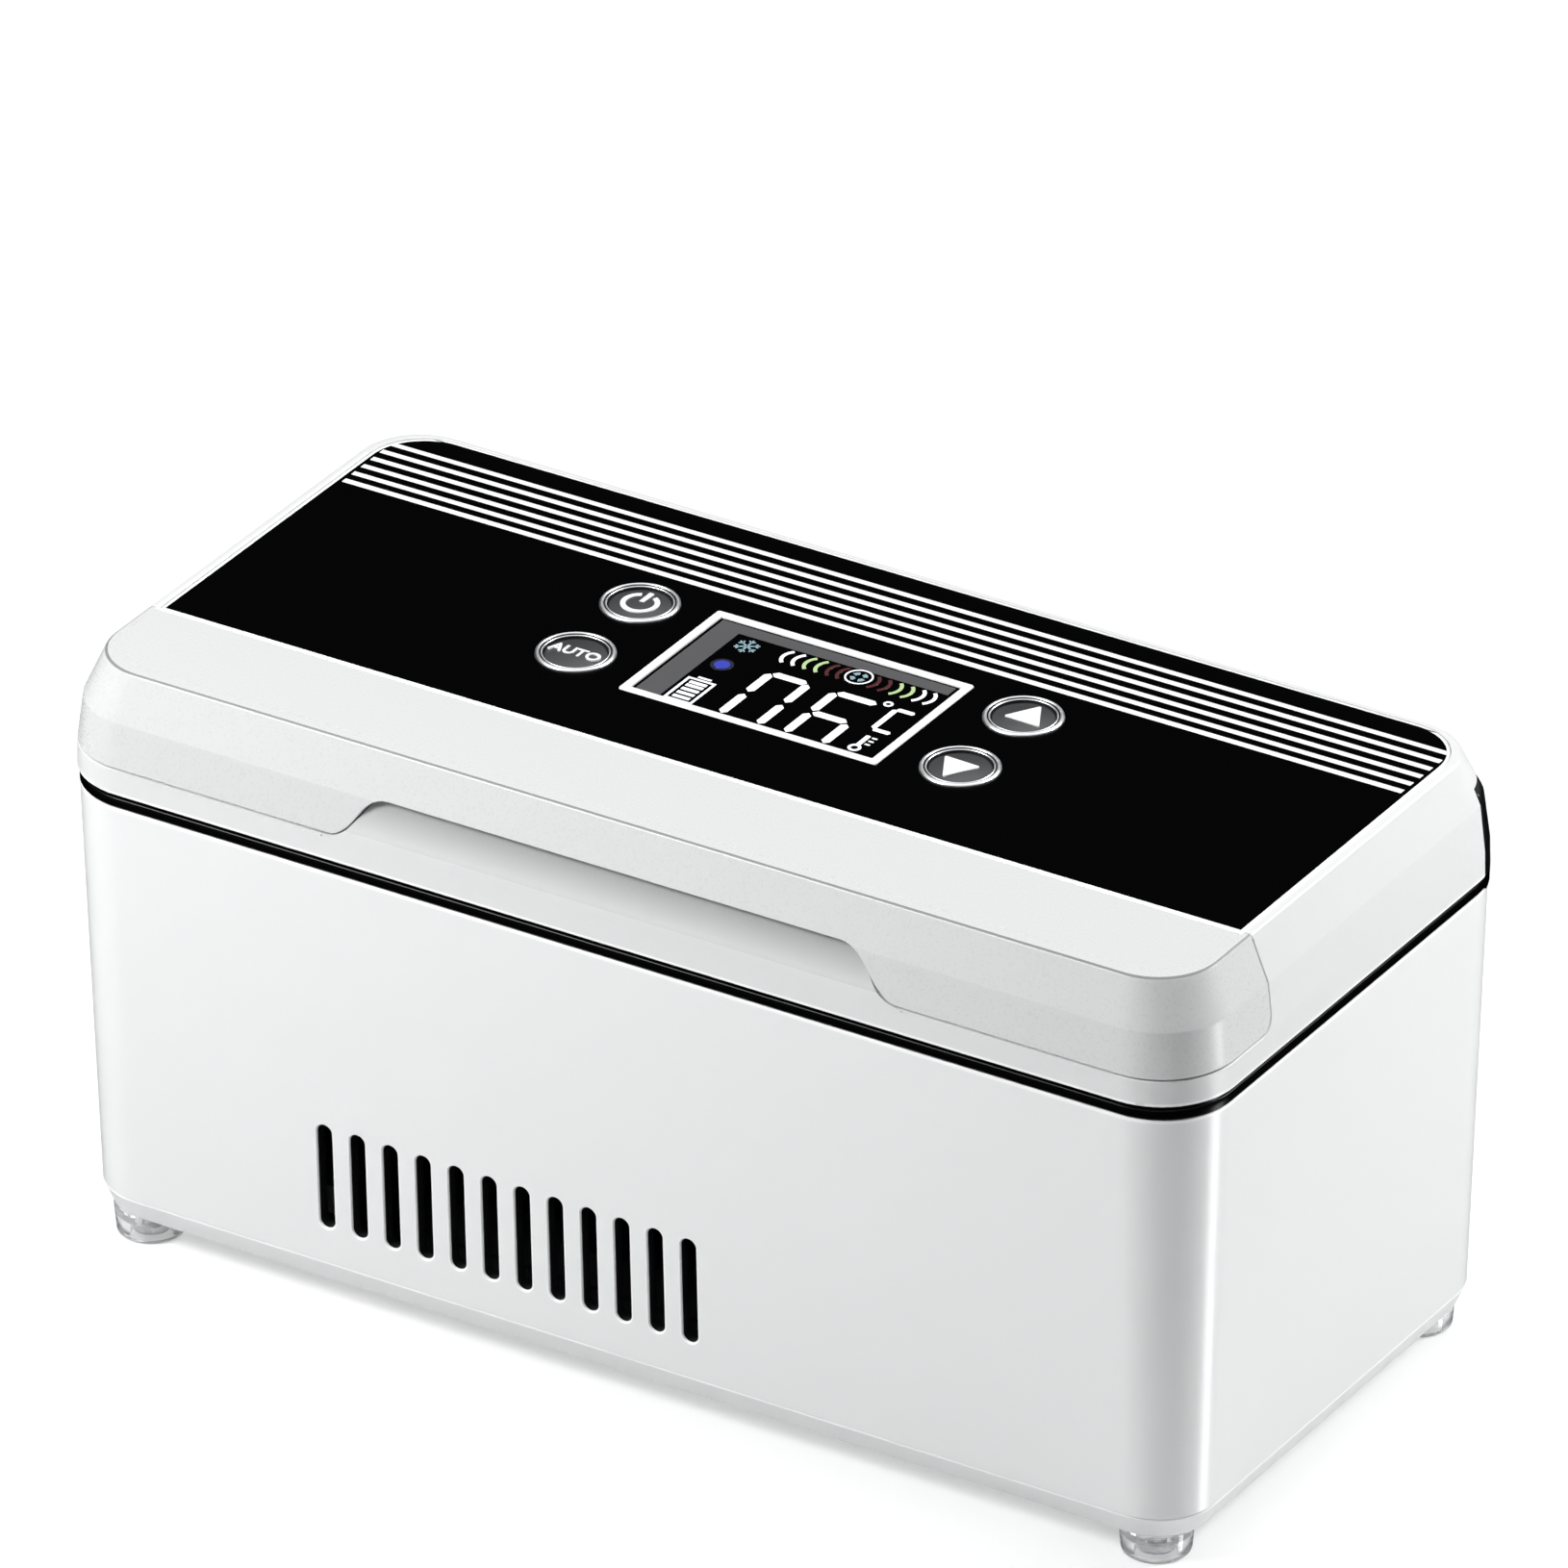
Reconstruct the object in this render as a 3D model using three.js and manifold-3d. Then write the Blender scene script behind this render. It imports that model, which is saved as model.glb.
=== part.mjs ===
// Insulin cooling case: a hinged cold box with a cooler, fan, cells and a lid with a display.
// Millimetres, +Z up, X across the front, the front faces -Y, origin on the floor at the centre.
import * as THREE from 'three';
import { mergeVertices } from 'three/addons/utils/BufferGeometryUtils.js';
import Module from 'manifold-3d';

const wasm = await Module();
wasm.setup();

// Driving sizes
const width = 210;
const depth = 101;
const height = 104.5;
const footHeight = 5.2;
const lidHeight = 19.8;
const cornerRadius = 13;
const gap = 0.3;
const overrun = 2;
const caseWall = 2.4;
const lidWall = 2.2;

// Facets of round shapes, as counts
const cornerSteps = 4;
const innerSteps = 2;
const waveSteps = 6;
const roundSides = 24;
const smallSides = 12;

// Lower case and base
const caseTopInset = 0.3;
const caseBottomInset = 2.6;
const baseHeight = 4;
const baseBottomInset = 4.2;
const baseFloor = 2.2;
const postRadius = 4;
const postHeight = 12;
const postBore = 1.7;
const postRib = 2.4;
const postInsetX = 11.5;
const postInsetY = 10.2;

// Vent slots in the front wall
const slotCount = 12;
const slotPitch = 6.155;
const slotWidth = 2.8;
const slotBottom = 15.7;
const slotTop = 34.7;
const coolerShare = 0.0993333;

// Feet and their screws
const footRadius = 6;
const footTaper = 0.4;
const footEdge = 0.5;
const footBore = 1.7;
const footCounterbore = 3.3;
const footCounterboreDepth = 2.6;
const screwHeadRadius = 2.8;
const screwHeadHeight = 1.6;
const screwShankRadius = 1.4;
const screwLength = 12;

// Black ring, riser and hinge
const ringHeight = 1.5;
const ringInset = 0.5;
const riserReach = 10.3;
const riserThickness = 3.2;
const riserRise = 13.5;
const hingeInset = 1.6;
const hingeRise = 12.5;
const hingeFromSide = 43;
const knuckleRadius = 1.6;
const knuckleLength = 14;
const barrelLength = 6;
const pinRadius = 0.75;
const pinBore = 1.05;
const pinLength = 25;
const knuckleArm = 2.4;

// Cold chamber
const chamberSide = 17.5;
const chamberWidth = 50;
const chamberRadius = 5;
const linerWall = 1;
const linerFloor = 1.2;
const linerBottom = 46.5;
const insulationBottom = 40.7;
const deckThickness = 2.2;
const deckSetback = 1;
const trayHeight = 11.5;
const trayPitch = 15.5;
const trayChannels = 3;
const trayChannelRadius = 6.8;
const probeRadius = 2.6;
const probeLength = 2.4;
const probeShare = 0.3;
const latchX = 0;
const latchInset = 12.5;
const latchRadius = 3;
const latchThickness = 1.5;

// Cooler stack, from the tub down
const coldPlateSize = 44;
const coldPlateThickness = 2.8;
const peltierSize = 40;
const peltierThickness = 3.6;
const stackHole = 46;
const sinkShare = 0.3333333;
const sinkDepth = 72;
const sinkBase = 4;
const finCount = 14;
const finThickness = 1.2;
const fanSize = 60;
const fanThickness = 10;
const fanCorner = 4;
const fanBore = 27.5;
const fanHubRadius = 11;
const fanHubPlate = 2;
const fanStrutWidth = 3;
const fanShaftRadius = 1.2;
const rotorHubRadius = 11.5;
const rotorTipRadius = 26.5;
const rotorTop = 1;
const rotorCap = 1;
const bladeCount = 7;
const bladeThickness = 1.2;
const bladeChord = 8;
const bladePitchDegrees = 38;
const fanGrilleSlots = 7;
const fanGrilleWidth = 4;
const fanGrillePitch = 7.5;
const fanGrilleLength = 46;

// Cells and cradle
const cellRadius = 9.2;
const cellLengthShare = 0.3104762;
const cellPitch = 19.8;
const cellCount = 3;
const cellStartShare = 0.1238095;
const cellTipRadius = 3;
const cellTipLength = 1;
const cradleFloor = 2;
const cradleWall = 1.6;
const cradleHeight = 9;
const cradleSide = 2;

// Main board and what is on it
const boardThickness = 1.6;
const boardShare = 0.3714286;
const boardLengthShare = 0.1619048;
const boardDepthShare = 0.6534653;
const boardPostHeight = 4;
const boardPostRadius = 3;
const boardPostInset = 4;
const inductorRadius = 6;
const inductorHeight = 7;
const inductorOffsetX = -6;
const inductorY = -16;
const capacitorRadius = 4;
const capacitorHeight = 11;
const capacitorOffsetX = 7;
const capacitorY = -20;
const connectorLength = 14;
const connectorDepth = 6;
const connectorHeight = 6;
const connectorWall = 1;
const connectorOffsetX = -2;
const connectorY = 12;

// Inlet socket on the rear wall
const socketZ = 24.2;
const socketWidth = 10;
const socketDepth = 9;
const socketNose = 4.4;
const socketBore = 3.2;
const socketBoreDepth = 8;
const socketPin = 1;
const socketPinSetback = 1;

// Lid outside
const lidGrooveHeight = 4.2;
const lidFacetHeight = 12.1;
const lidGrooveInset = 0.1;
const lidFacetInset = 1;
const lidTopInset = 4.2;
const cornerTighteningShare = 0.6;
const overhangRise = 14.7;
const lidRoof = 2.2;

// Finger recess
const waveFootX = 53.3;
const waveHeadX = 41.4;
const waveRise = 8.3;
const waveFootHandle = 6.5;
const waveHeadHandle = 5.5;
const scoopStart = 3.1;
const scoopMiddleIn = 1.4;
const scoopMiddleUp = 1.6;
const scoopDepth = 3.2;
const scoopFull = 4.6;
const scoopBack = 1.8;
const scoopLip = 1.2;

// Top panel
const panelSide = 5.8;
const panelFront = 24.7;
const panelRear = 5.2;
const panelRadius = 10;
const panelThickness = 1.8;
const panelSetback = 0.2;
const panelFit = 0.15;
const panelLedge = 2;
const panelLedgeWidth = 4;

// Display
const displayY = 4.8;
const displayWidth = 47.4;
const displayDepth = 29.9;
const bezelWidth = 1.9;
const bezelProud = 0.15;
const displayFit = 0.1;
const windowSetback = 0.4;

// Buttons and the board under them
const buttonX = 35.4;
const buttonFrontY = -3.9;
const buttonRearY = 15.1;
const ringRadius = 6.5;
const ringBore = 4.9;
const ringProud = 0.5;
const ringFlange = 1;
const ringFlangeRadius = 7.6;
const buttonRadius = 4.6;
const buttonProud = 0.3;
const buttonFlangeRadius = 5.6;
const buttonFlange = 1;
const buttonTravel = 0.6;
const buttonSlack = 0.1;
const buttonDish = 0.25;
const switchSize = 6.2;
const switchBody = 1.8;
const switchPlunger = 0.7;
const switchPlungerRadius = 1.6;
const controlBoardLength = 94;
const controlBoardDepth = 42;

// Lid inside
const linerPlate = 2;
const linerLift = 0.4;
const plugClearanceX = 1;
const plugClearanceY = 2.5;
const plugReach = 2.6;
const plugWall = 1.5;
const lidFoamSide = 10;
const lidFoamFront = 7.5;
const lidFoamRear = 8.5;
const sealWidth = 2.4;
const sealOffset = 3;

// Heights and halves worked out from the sizes above
const halfWidth = width / 2;
const halfDepth = depth / 2;
const baseTop = footHeight + baseHeight;
const lidBottom = height - lidHeight;
const ringTop = lidBottom - gap;
const seamHeight = ringTop - ringHeight;
const grooveZ = lidBottom + lidGrooveHeight;
const facetZ = lidBottom + lidFacetHeight;
const frontY = -halfDepth;
const postPlaceX = halfWidth - postInsetX;
const postPlaceY = halfDepth - postInsetY;
const riserStartY = halfDepth - riserReach;
const riserTop = lidBottom + riserRise;
const hingeY = halfDepth - hingeInset;
const hingeZ = lidBottom + hingeRise;
const hingePlaceX = halfWidth - hingeFromSide;
const overhangBottom = lidBottom + overhangRise;
const latchY = frontY + latchInset;
const panelHalfX = halfWidth - panelSide;
const panelFrontY = frontY + panelFront;
const panelRearY = halfDepth - panelRear;
const chamberLength = width - 2 * chamberSide;
const coolerX = -width * coolerShare;
const sinkLength = width * sinkShare;
const cellLength = width * cellLengthShare;
const cellStartX = width * cellStartShare;
const boardX = -width * boardShare;
const boardLength = width * boardLengthShare;
const boardDepth = depth * boardDepthShare;
const panelTop = height - panelSetback;
const panelBottom = panelTop - panelThickness;
const cavityTop = panelBottom - panelLedge;
const ringBottom = panelBottom - ringFlange;
const buttonBottom = ringBottom - gap - buttonFlange;
const controlBoardTop = buttonBottom - buttonTravel - buttonSlack - switchPlunger - switchBody;
const controlBoardBottom = controlBoardTop - boardThickness;
const liningBottom = lidBottom + linerLift;
const liningTop = liningBottom + linerPlate;
const deckTop = ringTop - deckSetback;
const deckBottom = deckTop - deckThickness;
const linerTop = deckBottom - gap;
const chamberFloor = linerBottom + linerFloor;
const coldPlateBottom = linerBottom - gap - coldPlateThickness;
const peltierBottom = coldPlateBottom - gap - peltierThickness;
const sinkTop = peltierBottom - gap;
const floorTop = footHeight + baseFloor;
const fanBottom = floorTop + gap;
const fanTop = fanBottom + fanThickness;
const quarterTurn = Math.PI / 2;

// Solids from geometries
function solidFrom(geometry) {
  geometry.deleteAttribute('normal');
  geometry.deleteAttribute('uv');
  const merged = mergeVertices(geometry);
  const index = merged.index.array;
  const corners = [];
  for (let i = 0; i < index.length; i += 3) {
    const face = [index[i], index[i + 1], index[i + 2]];
    if (new Set(face).size === 3) corners.push(...face);
  }
  return new wasm.Manifold(new wasm.Mesh({
    numProp: 3,
    vertProperties: merged.attributes.position.array,
    triVerts: new Uint32Array(corners),
  }));
}

function block(x0, x1, y0, y1, z0, z1) {
  const geometry = new THREE.BoxGeometry(x1 - x0, y1 - y0, z1 - z0);
  return solidFrom(geometry.translate((x0 + x1) / 2, (y0 + y1) / 2, (z0 + z1) / 2));
}

function cylinder(radius, length, sides) {
  return new THREE.CylinderGeometry(radius, radius, length, sides);
}

function rodX(radius, y, z, x0, x1, sides = smallSides) {
  const geometry = cylinder(radius, x1 - x0, sides).rotateZ(-quarterTurn);
  return solidFrom(geometry.translate((x0 + x1) / 2, y, z));
}

function rodY(radius, x, z, y0, y1, sides = smallSides) {
  return solidFrom(cylinder(radius, y1 - y0, sides).translate(x, (y0 + y1) / 2, z));
}

function rodZ(radius, x, y, z0, z1, sides = smallSides) {
  const geometry = cylinder(radius, z1 - z0, sides).rotateX(quarterTurn);
  return solidFrom(geometry.translate(x, y, (z0 + z1) / 2));
}

function turned(profile, x, y, sides = roundSides) {
  const points = profile.map(([radius, z]) => new THREE.Vector2(radius, z));
  const geometry = new THREE.LatheGeometry(points, sides).rotateX(quarterTurn);
  return solidFrom(geometry.translate(x, y, 0));
}

function prism(shape, z0, z1, steps = innerSteps) {
  const options = { depth: z1 - z0, bevelEnabled: false, curveSegments: steps };
  return solidFrom(new THREE.ExtrudeGeometry(shape, options).translate(0, 0, z0));
}

// The shape is drawn in X and Z, and pushed through from y0 to y1
function frontPrism(shape, y0, y1, steps = waveSteps) {
  const options = { depth: y1 - y0, bevelEnabled: false, curveSegments: steps };
  const geometry = new THREE.ExtrudeGeometry(shape, options).rotateX(quarterTurn);
  return solidFrom(geometry.translate(0, y1, 0));
}

// The shape is drawn in Y and Z, and pushed through from x0 to x1
function sidePrism(shape, x0, x1, steps = waveSteps) {
  const options = { depth: x1 - x0, bevelEnabled: false, curveSegments: steps };
  const geometry = new THREE.ExtrudeGeometry(shape, options);
  const turn = new THREE.Matrix4().makeBasis(
    new THREE.Vector3(0, 1, 0),
    new THREE.Vector3(0, 0, 1),
    new THREE.Vector3(1, 0, 0),
  );
  return solidFrom(geometry.applyMatrix4(turn).translate(x0, 0, 0));
}

function roundedRectangle(halfX, halfY, radius, x = 0, y = 0) {
  const shape = new THREE.Shape();
  const corners = [[1, 1], [-1, 1], [-1, -1], [1, -1]];
  corners.forEach(([sideX, sideY], i) => {
    const centreX = x + sideX * (halfX - radius);
    const centreY = y + sideY * (halfY - radius);
    shape.absarc(centreX, centreY, radius, i * quarterTurn, (i + 1) * quarterTurn, false);
  });
  return shape;
}

function outline(inset, radius = cornerRadius - inset) {
  return roundedRectangle(halfWidth - inset, halfDepth - inset, radius);
}

function outlinePrism(inset, z0, z1) {
  return prism(outline(inset), z0, z1, cornerSteps);
}

function slotOutline(slotWide, slotLong, x, y) {
  const shape = new THREE.Shape();
  const radius = slotWide / 2;
  const reach = slotLong / 2 - radius;
  shape.absarc(x, y + reach, radius, 0, Math.PI, false);
  shape.absarc(x, y - reach, radius, Math.PI, 2 * Math.PI, false);
  return shape;
}

// A solid through several outlines, each with its own height
function loft(levels) {
  const rings = levels.map(({ z, inset, radius }) => {
    const points = outline(inset, radius).getPoints(cornerSteps);
    return points.map((point) => new THREE.Vector3(point.x, point.y, z));
  });
  const count = rings[0].length;
  const vertices = rings.flat();
  const index = [];
  for (let level = 0; level + 1 < rings.length; level += 1) {
    for (let i = 0; i < count; i += 1) {
      const a = level * count + i;
      const b = level * count + ((i + 1) % count);
      index.push(a, b, b + count, a, b + count, a + count);
    }
  }
  const cap = THREE.ShapeUtils.triangulateShape(rings[0].map((p) => new THREE.Vector2(p.x, p.y)), []);
  const last = (rings.length - 1) * count;
  for (const [a, b, c] of cap) {
    index.push(c, b, a);
    index.push(a + last, b + last, c + last);
  }
  const geometry = new THREE.BufferGeometry().setFromPoints(vertices);
  geometry.setIndex(index);
  return solidFrom(geometry);
}

// The case's outside, or a surface further in, cut off at two heights
function caseBody(inset, z0, z1) {
  const levels = [[z0, caseInsetAt(z0)], [z1, caseInsetAt(z1)]];
  return loft(levels.map(([z, own]) => ({ z, inset: own + inset, radius: cornerRadius - own - inset })));
}

function caseInsetAt(z) {
  const share = (z - baseTop) / (seamHeight - baseTop);
  return caseBottomInset + (caseTopInset - caseBottomInset) * share;
}

// The lid's outside, or a surface further in, between two heights
const lidLevels = [
  [lidBottom, 0],
  [grooveZ, lidGrooveInset],
  [facetZ, lidFacetInset],
  [height, lidTopInset],
];

function lidInsetAt(z) {
  const above = lidLevels.findIndex(([top]) => z <= top);
  const [high, highInset] = lidLevels[Math.max(above, 1)];
  const [low, lowInset] = lidLevels[Math.max(above, 1) - 1];
  return Math.max(lowInset + ((highInset - lowInset) * (z - low)) / (high - low), 0);
}

function lidBody(inset, z0, z1) {
  const between = lidLevels.map(([z]) => z).filter((z) => z > z0 && z < z1);
  return loft([z0, ...between, z1].map((z) => ({
    z,
    inset: lidInsetAt(z) + inset,
    radius: cornerRadius - cornerTighteningShare * lidInsetAt(z) - inset,
  })));
}

// Everything but the band that the riser takes up behind the lid
function clearOfRiser(inset, z1) {
  const front = block(-width, width, -depth, riserStartY - inset, 0, z1);
  const rear = outlinePrism(riserThickness + inset, 0, z1);
  return front.add(rear);
}

function finish(color, roughness, metalness = 0) {
  return new THREE.MeshStandardMaterial({ color, roughness, metalness, flatShading: true });
}

const whiteGloss = finish(0xe9ebea, 0.25);
const whiteSatin = finish(0xe2e3e2, 0.45);
const blackGloss = finish(0x050506, 0.08);
const blackSatin = finish(0x0a0a0b, 0.5);
const clearPlastic = finish(0xd8dcde, 0.1);
const chrome = finish(0xd5d8da, 0.12, 1);
const buttonFace = finish(0x2a2b2d, 0.3);
const aluminium = finish(0xb9bcbf, 0.35, 1);
const steel = finish(0x9ea2a6, 0.3, 1);
const foam = finish(0xdfe3e6, 0.95);
const rubber = finish(0x26272a, 0.8);
const ceramic = finish(0xf0eee8, 0.6);
const boardGreen = finish(0x1d5b3a, 0.5);
const cellWrap = finish(0x2c6fae, 0.4);
const darkPart = finish(0x1c1d1f, 0.5);
const displayGlass = finish(0x08090b, 0.05);
const bezelWhite = finish(0xf4f5f5, 0.3);

const coolingCase = new THREE.Group();

function addPiece(group, name, solid, material) {
  const { vertProperties, triVerts } = solid.getMesh();
  const geometry = new THREE.BufferGeometry();
  geometry.setAttribute('position', new THREE.BufferAttribute(vertProperties, 3));
  geometry.setIndex(new THREE.BufferAttribute(triVerts, 1));
  const mesh = new THREE.Mesh(geometry, material);
  mesh.name = name;
  group.add(mesh);
}

// The four places of feet, base screws and posts
const cornerPlaces = [
  ['front_left', -1, -1],
  ['front_right', 1, -1],
  ['rear_left', -1, 1],
  ['rear_right', 1, 1],
];

// Lower case: walls, posts, slots and the inlet's hole
function lowerCase() {
  let shell = caseBody(0, baseTop, seamHeight);
  shell = shell.subtract(caseBody(caseWall, baseTop - overrun, seamHeight + overrun));
  for (const [, sideX, sideY] of cornerPlaces) {
    const x = sideX * postPlaceX;
    const y = sideY * postPlaceY;
    const wallY = sideY * (halfDepth - caseBottomInset - caseWall / 2);
    shell = shell.add(rodZ(postRadius, x, y, baseTop, baseTop + postHeight));
    shell = shell.add(block(x - postRib / 2, x + postRib / 2, Math.min(y, wallY), Math.max(y, wallY),
      baseTop, baseTop + postHeight));
    shell = shell.subtract(rodZ(postBore, x, y, baseTop - overrun, baseTop + postHeight + overrun));
  }
  for (let i = 0; i < slotCount; i += 1) {
    const x = coolerX + (i - (slotCount - 1) / 2) * slotPitch;
    const slot = slotOutline(slotWidth, slotTop - slotBottom, x, (slotTop + slotBottom) / 2);
    shell = shell.subtract(frontPrism(slot, frontY - overrun, frontY + caseWall + 2 * overrun, innerSteps));
  }
  return shell.subtract(rodY(socketNose + gap, boardX, socketZ, 0, halfDepth + overrun, roundSides));
}

// Base plate: chamfered edge, grille under the fan, posts for the main board
function boardPosts() {
  const places = [];
  for (const sideX of [-1, 1]) {
    for (const sideY of [-1, 1]) {
      places.push([boardX + sideX * (boardLength / 2 - boardPostInset),
        sideY * (boardDepth / 2 - boardPostInset)]);
    }
  }
  return places;
}

function basePlate() {
  const bottom = { z: footHeight, inset: baseBottomInset, radius: cornerRadius - baseBottomInset };
  const top = { z: baseTop, inset: caseBottomInset, radius: cornerRadius - caseBottomInset };
  let plate = loft([bottom, top]);
  plate = plate.subtract(outlinePrism(baseBottomInset + caseWall, floorTop, baseTop + overrun));
  for (const [x, y] of boardPosts()) {
    plate = plate.add(rodZ(boardPostRadius, x, y, floorTop - baseFloor / 2, baseTop + boardPostHeight));
  }
  for (const [, sideX, sideY] of cornerPlaces) {
    plate = plate.subtract(rodZ(postBore, sideX * postPlaceX, sideY * postPlaceY, 0, baseTop + overrun));
  }
  for (let i = 0; i < fanGrilleSlots; i += 1) {
    const x = coolerX + (i - (fanGrilleSlots - 1) / 2) * fanGrillePitch;
    const slot = slotOutline(fanGrilleWidth, fanGrilleLength, x, 0);
    plate = plate.subtract(prism(slot, footHeight - overrun, baseTop + overrun));
  }
  return plate;
}

function foot(x, y) {
  return turned([
    [footBore, footCounterboreDepth],
    [footCounterbore, footCounterboreDepth],
    [footCounterbore, 0],
    [footRadius - footTaper - footEdge, 0],
    [footRadius - footTaper, footEdge],
    [footRadius, footHeight],
    [footBore, footHeight],
    [footBore, footCounterboreDepth],
  ], x, y);
}

function baseScrew(x, y) {
  const headTop = footCounterboreDepth - gap;
  return turned([
    [0, headTop - screwHeadHeight],
    [screwHeadRadius, headTop - screwHeadHeight],
    [screwHeadRadius, headTop],
    [screwShankRadius, headTop],
    [screwShankRadius, headTop + screwLength],
    [0, headTop + screwLength],
  ], x, y, smallSides);
}

// Black ring between case and lid, with the riser and the fixed barrels of the hinge
function hingeSides() {
  return [['left', -hingePlaceX], ['right', hingePlaceX]];
}

function seamFrame() {
  const riserZone = block(-width, width, riserStartY, depth, seamHeight, height);
  const riser = lidBody(0, seamHeight, riserTop).intersect(riserZone);
  let frame = outlinePrism(ringInset, seamHeight, ringTop).add(riser);
  frame = frame.subtract(outlinePrism(riserThickness, 0, height));
  const halfKnuckle = knuckleLength / 2 + gap;
  for (const [, x] of hingeSides()) {
    const reach = halfKnuckle + barrelLength;
    frame = frame.add(rodX(knuckleRadius, hingeY, hingeZ, x - reach, x + reach));
    frame = frame.subtract(block(x - halfKnuckle, x + halfKnuckle, riserStartY, depth,
      hingeZ - knuckleRadius - gap, height));
    frame = frame.subtract(rodX(pinBore, hingeY, hingeZ, x - reach - overrun, x + reach + overrun));
  }
  return frame;
}

function hingePin(x) {
  return rodX(pinRadius, hingeY, hingeZ, x - pinLength / 2, x + pinLength / 2);
}

// Cold chamber
const trayBottom = chamberFloor + gap;
const trayTop = trayBottom + trayHeight;

function chamberShape(grow) {
  return roundedRectangle(chamberLength / 2 + grow, chamberWidth / 2 + grow, chamberRadius + grow);
}

function innerFrame() {
  const inset = Math.max(riserThickness, caseInsetAt(deckBottom) + caseWall) + gap;
  let deck = outlinePrism(inset, deckBottom, deckTop);
  deck = deck.subtract(prism(chamberShape(0), 0, height));
  const pocketBottom = deckTop - latchThickness;
  return deck.subtract(rodZ(latchRadius + displayFit, latchX, latchY, pocketBottom, height));
}

function latchPlate() {
  return rodZ(latchRadius, latchX, latchY, deckTop - latchThickness, deckTop);
}

function chamberLiner() {
  const tub = prism(chamberShape(linerWall), linerBottom, linerTop);
  return tub.subtract(prism(chamberShape(0), chamberFloor, height));
}

function insulationBlock() {
  let foamBlock = caseBody(caseWall + gap, insulationBottom, linerTop);
  foamBlock = foamBlock.subtract(prism(chamberShape(linerWall + gap), linerBottom - gap, height));
  const half = stackHole / 2;
  return foamBlock.subtract(block(coolerX - half, coolerX + half, -half, half, 0, height));
}

function penTray() {
  let tray = prism(chamberShape(-2 * gap), trayBottom, trayTop);
  for (let i = 0; i < trayChannels; i += 1) {
    const y = (i - (trayChannels - 1) / 2) * trayPitch;
    tray = tray.subtract(rodX(trayChannelRadius, y, trayTop, -halfWidth, halfWidth, roundSides));
  }
  return tray;
}

function temperatureProbe() {
  const wallX = -chamberLength / 2;
  const probeZ = trayTop + (linerTop - trayTop) * probeShare;
  return rodX(probeRadius, 0, probeZ, wallX, wallX + probeLength);
}

// Cooler stack
function squarePlate(size, bottom, thickness) {
  const half = size / 2;
  return block(coolerX - half, coolerX + half, -half, half, bottom, bottom + thickness);
}

function heatSink() {
  const x0 = coolerX - sinkLength / 2;
  const halfSink = sinkDepth / 2;
  let sink = block(x0, x0 + sinkLength, -halfSink, halfSink, sinkTop - sinkBase, sinkTop);
  const pitch = (sinkLength - finThickness) / (finCount - 1);
  for (let i = 0; i < finCount; i += 1) {
    const x = x0 + i * pitch;
    sink = sink.add(block(x, x + finThickness, -halfSink, halfSink, fanTop + gap, sinkTop));
  }
  return sink;
}

function fanFrame() {
  const square = roundedRectangle(fanSize / 2, fanSize / 2, fanCorner, coolerX, 0);
  let frame = prism(square, fanBottom, fanTop);
  frame = frame.subtract(rodZ(fanBore, coolerX, 0, fanBottom - overrun, fanTop + overrun, roundSides));
  const plateTop = fanBottom + fanHubPlate;
  for (const turn of [0, 1]) {
    const halfX = turn ? fanStrutWidth / 2 : fanBore + overrun / 2;
    const halfY = turn ? fanBore + overrun / 2 : fanStrutWidth / 2;
    frame = frame.add(block(coolerX - halfX, coolerX + halfX, -halfY, halfY, fanBottom, plateTop));
  }
  frame = frame.add(rodZ(fanHubRadius, coolerX, 0, fanBottom, plateTop, roundSides));
  return frame.add(rodZ(fanShaftRadius, coolerX, 0, plateTop, fanTop - rotorTop - rotorCap - gap));
}

function fanRotor() {
  const bottom = fanBottom + fanHubPlate + gap;
  const top = fanTop - rotorTop;
  let rotor = rodZ(rotorHubRadius, coolerX, 0, bottom, top, roundSides);
  const bladeLength = rotorTipRadius - rotorHubRadius / 2;
  for (let i = 0; i < bladeCount; i += 1) {
    const blade = new THREE.BoxGeometry(bladeLength, bladeChord, bladeThickness);
    blade.rotateX(THREE.MathUtils.degToRad(bladePitchDegrees));
    blade.translate(rotorTipRadius - bladeLength / 2, 0, (bottom + top) / 2);
    blade.rotateZ((i / bladeCount) * 2 * Math.PI);
    rotor = rotor.add(solidFrom(blade.translate(coolerX, 0, 0)));
  }
  return rotor.subtract(rodZ(fanShaftRadius + gap, coolerX, 0, 0, top - rotorCap));
}

// Cells in their cradle
function cellRow() {
  const rows = [];
  for (let i = 0; i < cellCount; i += 1) rows.push((i - (cellCount - 1) / 2) * cellPitch);
  return rows;
}

const cradleBottom = floorTop + gap;
const cellZ = cradleBottom + cradleFloor + gap + cellRadius;

function batteryCradle() {
  const x0 = cellStartX - gap - cradleWall;
  const x1 = cellStartX + cellLength + cellTipLength + gap + cradleWall;
  const halfY = cellPitch + cellRadius + gap + cradleSide;
  let cradle = block(x0, x1, -halfY, halfY, cradleBottom, cradleBottom + cradleHeight);
  for (const y of cellRow()) {
    const bore = rodX(cellRadius + gap, y, cellZ, x0 + cradleWall, x1 - cradleWall, roundSides);
    cradle = cradle.subtract(bore);
  }
  const cradleTop = cradleBottom + cradleHeight;
  for (const [, sideX, sideY] of cornerPlaces) {
    const relief = rodZ(postRadius + gap, sideX * postPlaceX, sideY * postPlaceY,
      cradleBottom - overrun, cradleTop + overrun);
    cradle = cradle.subtract(relief);
  }
  return cradle;
}

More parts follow.
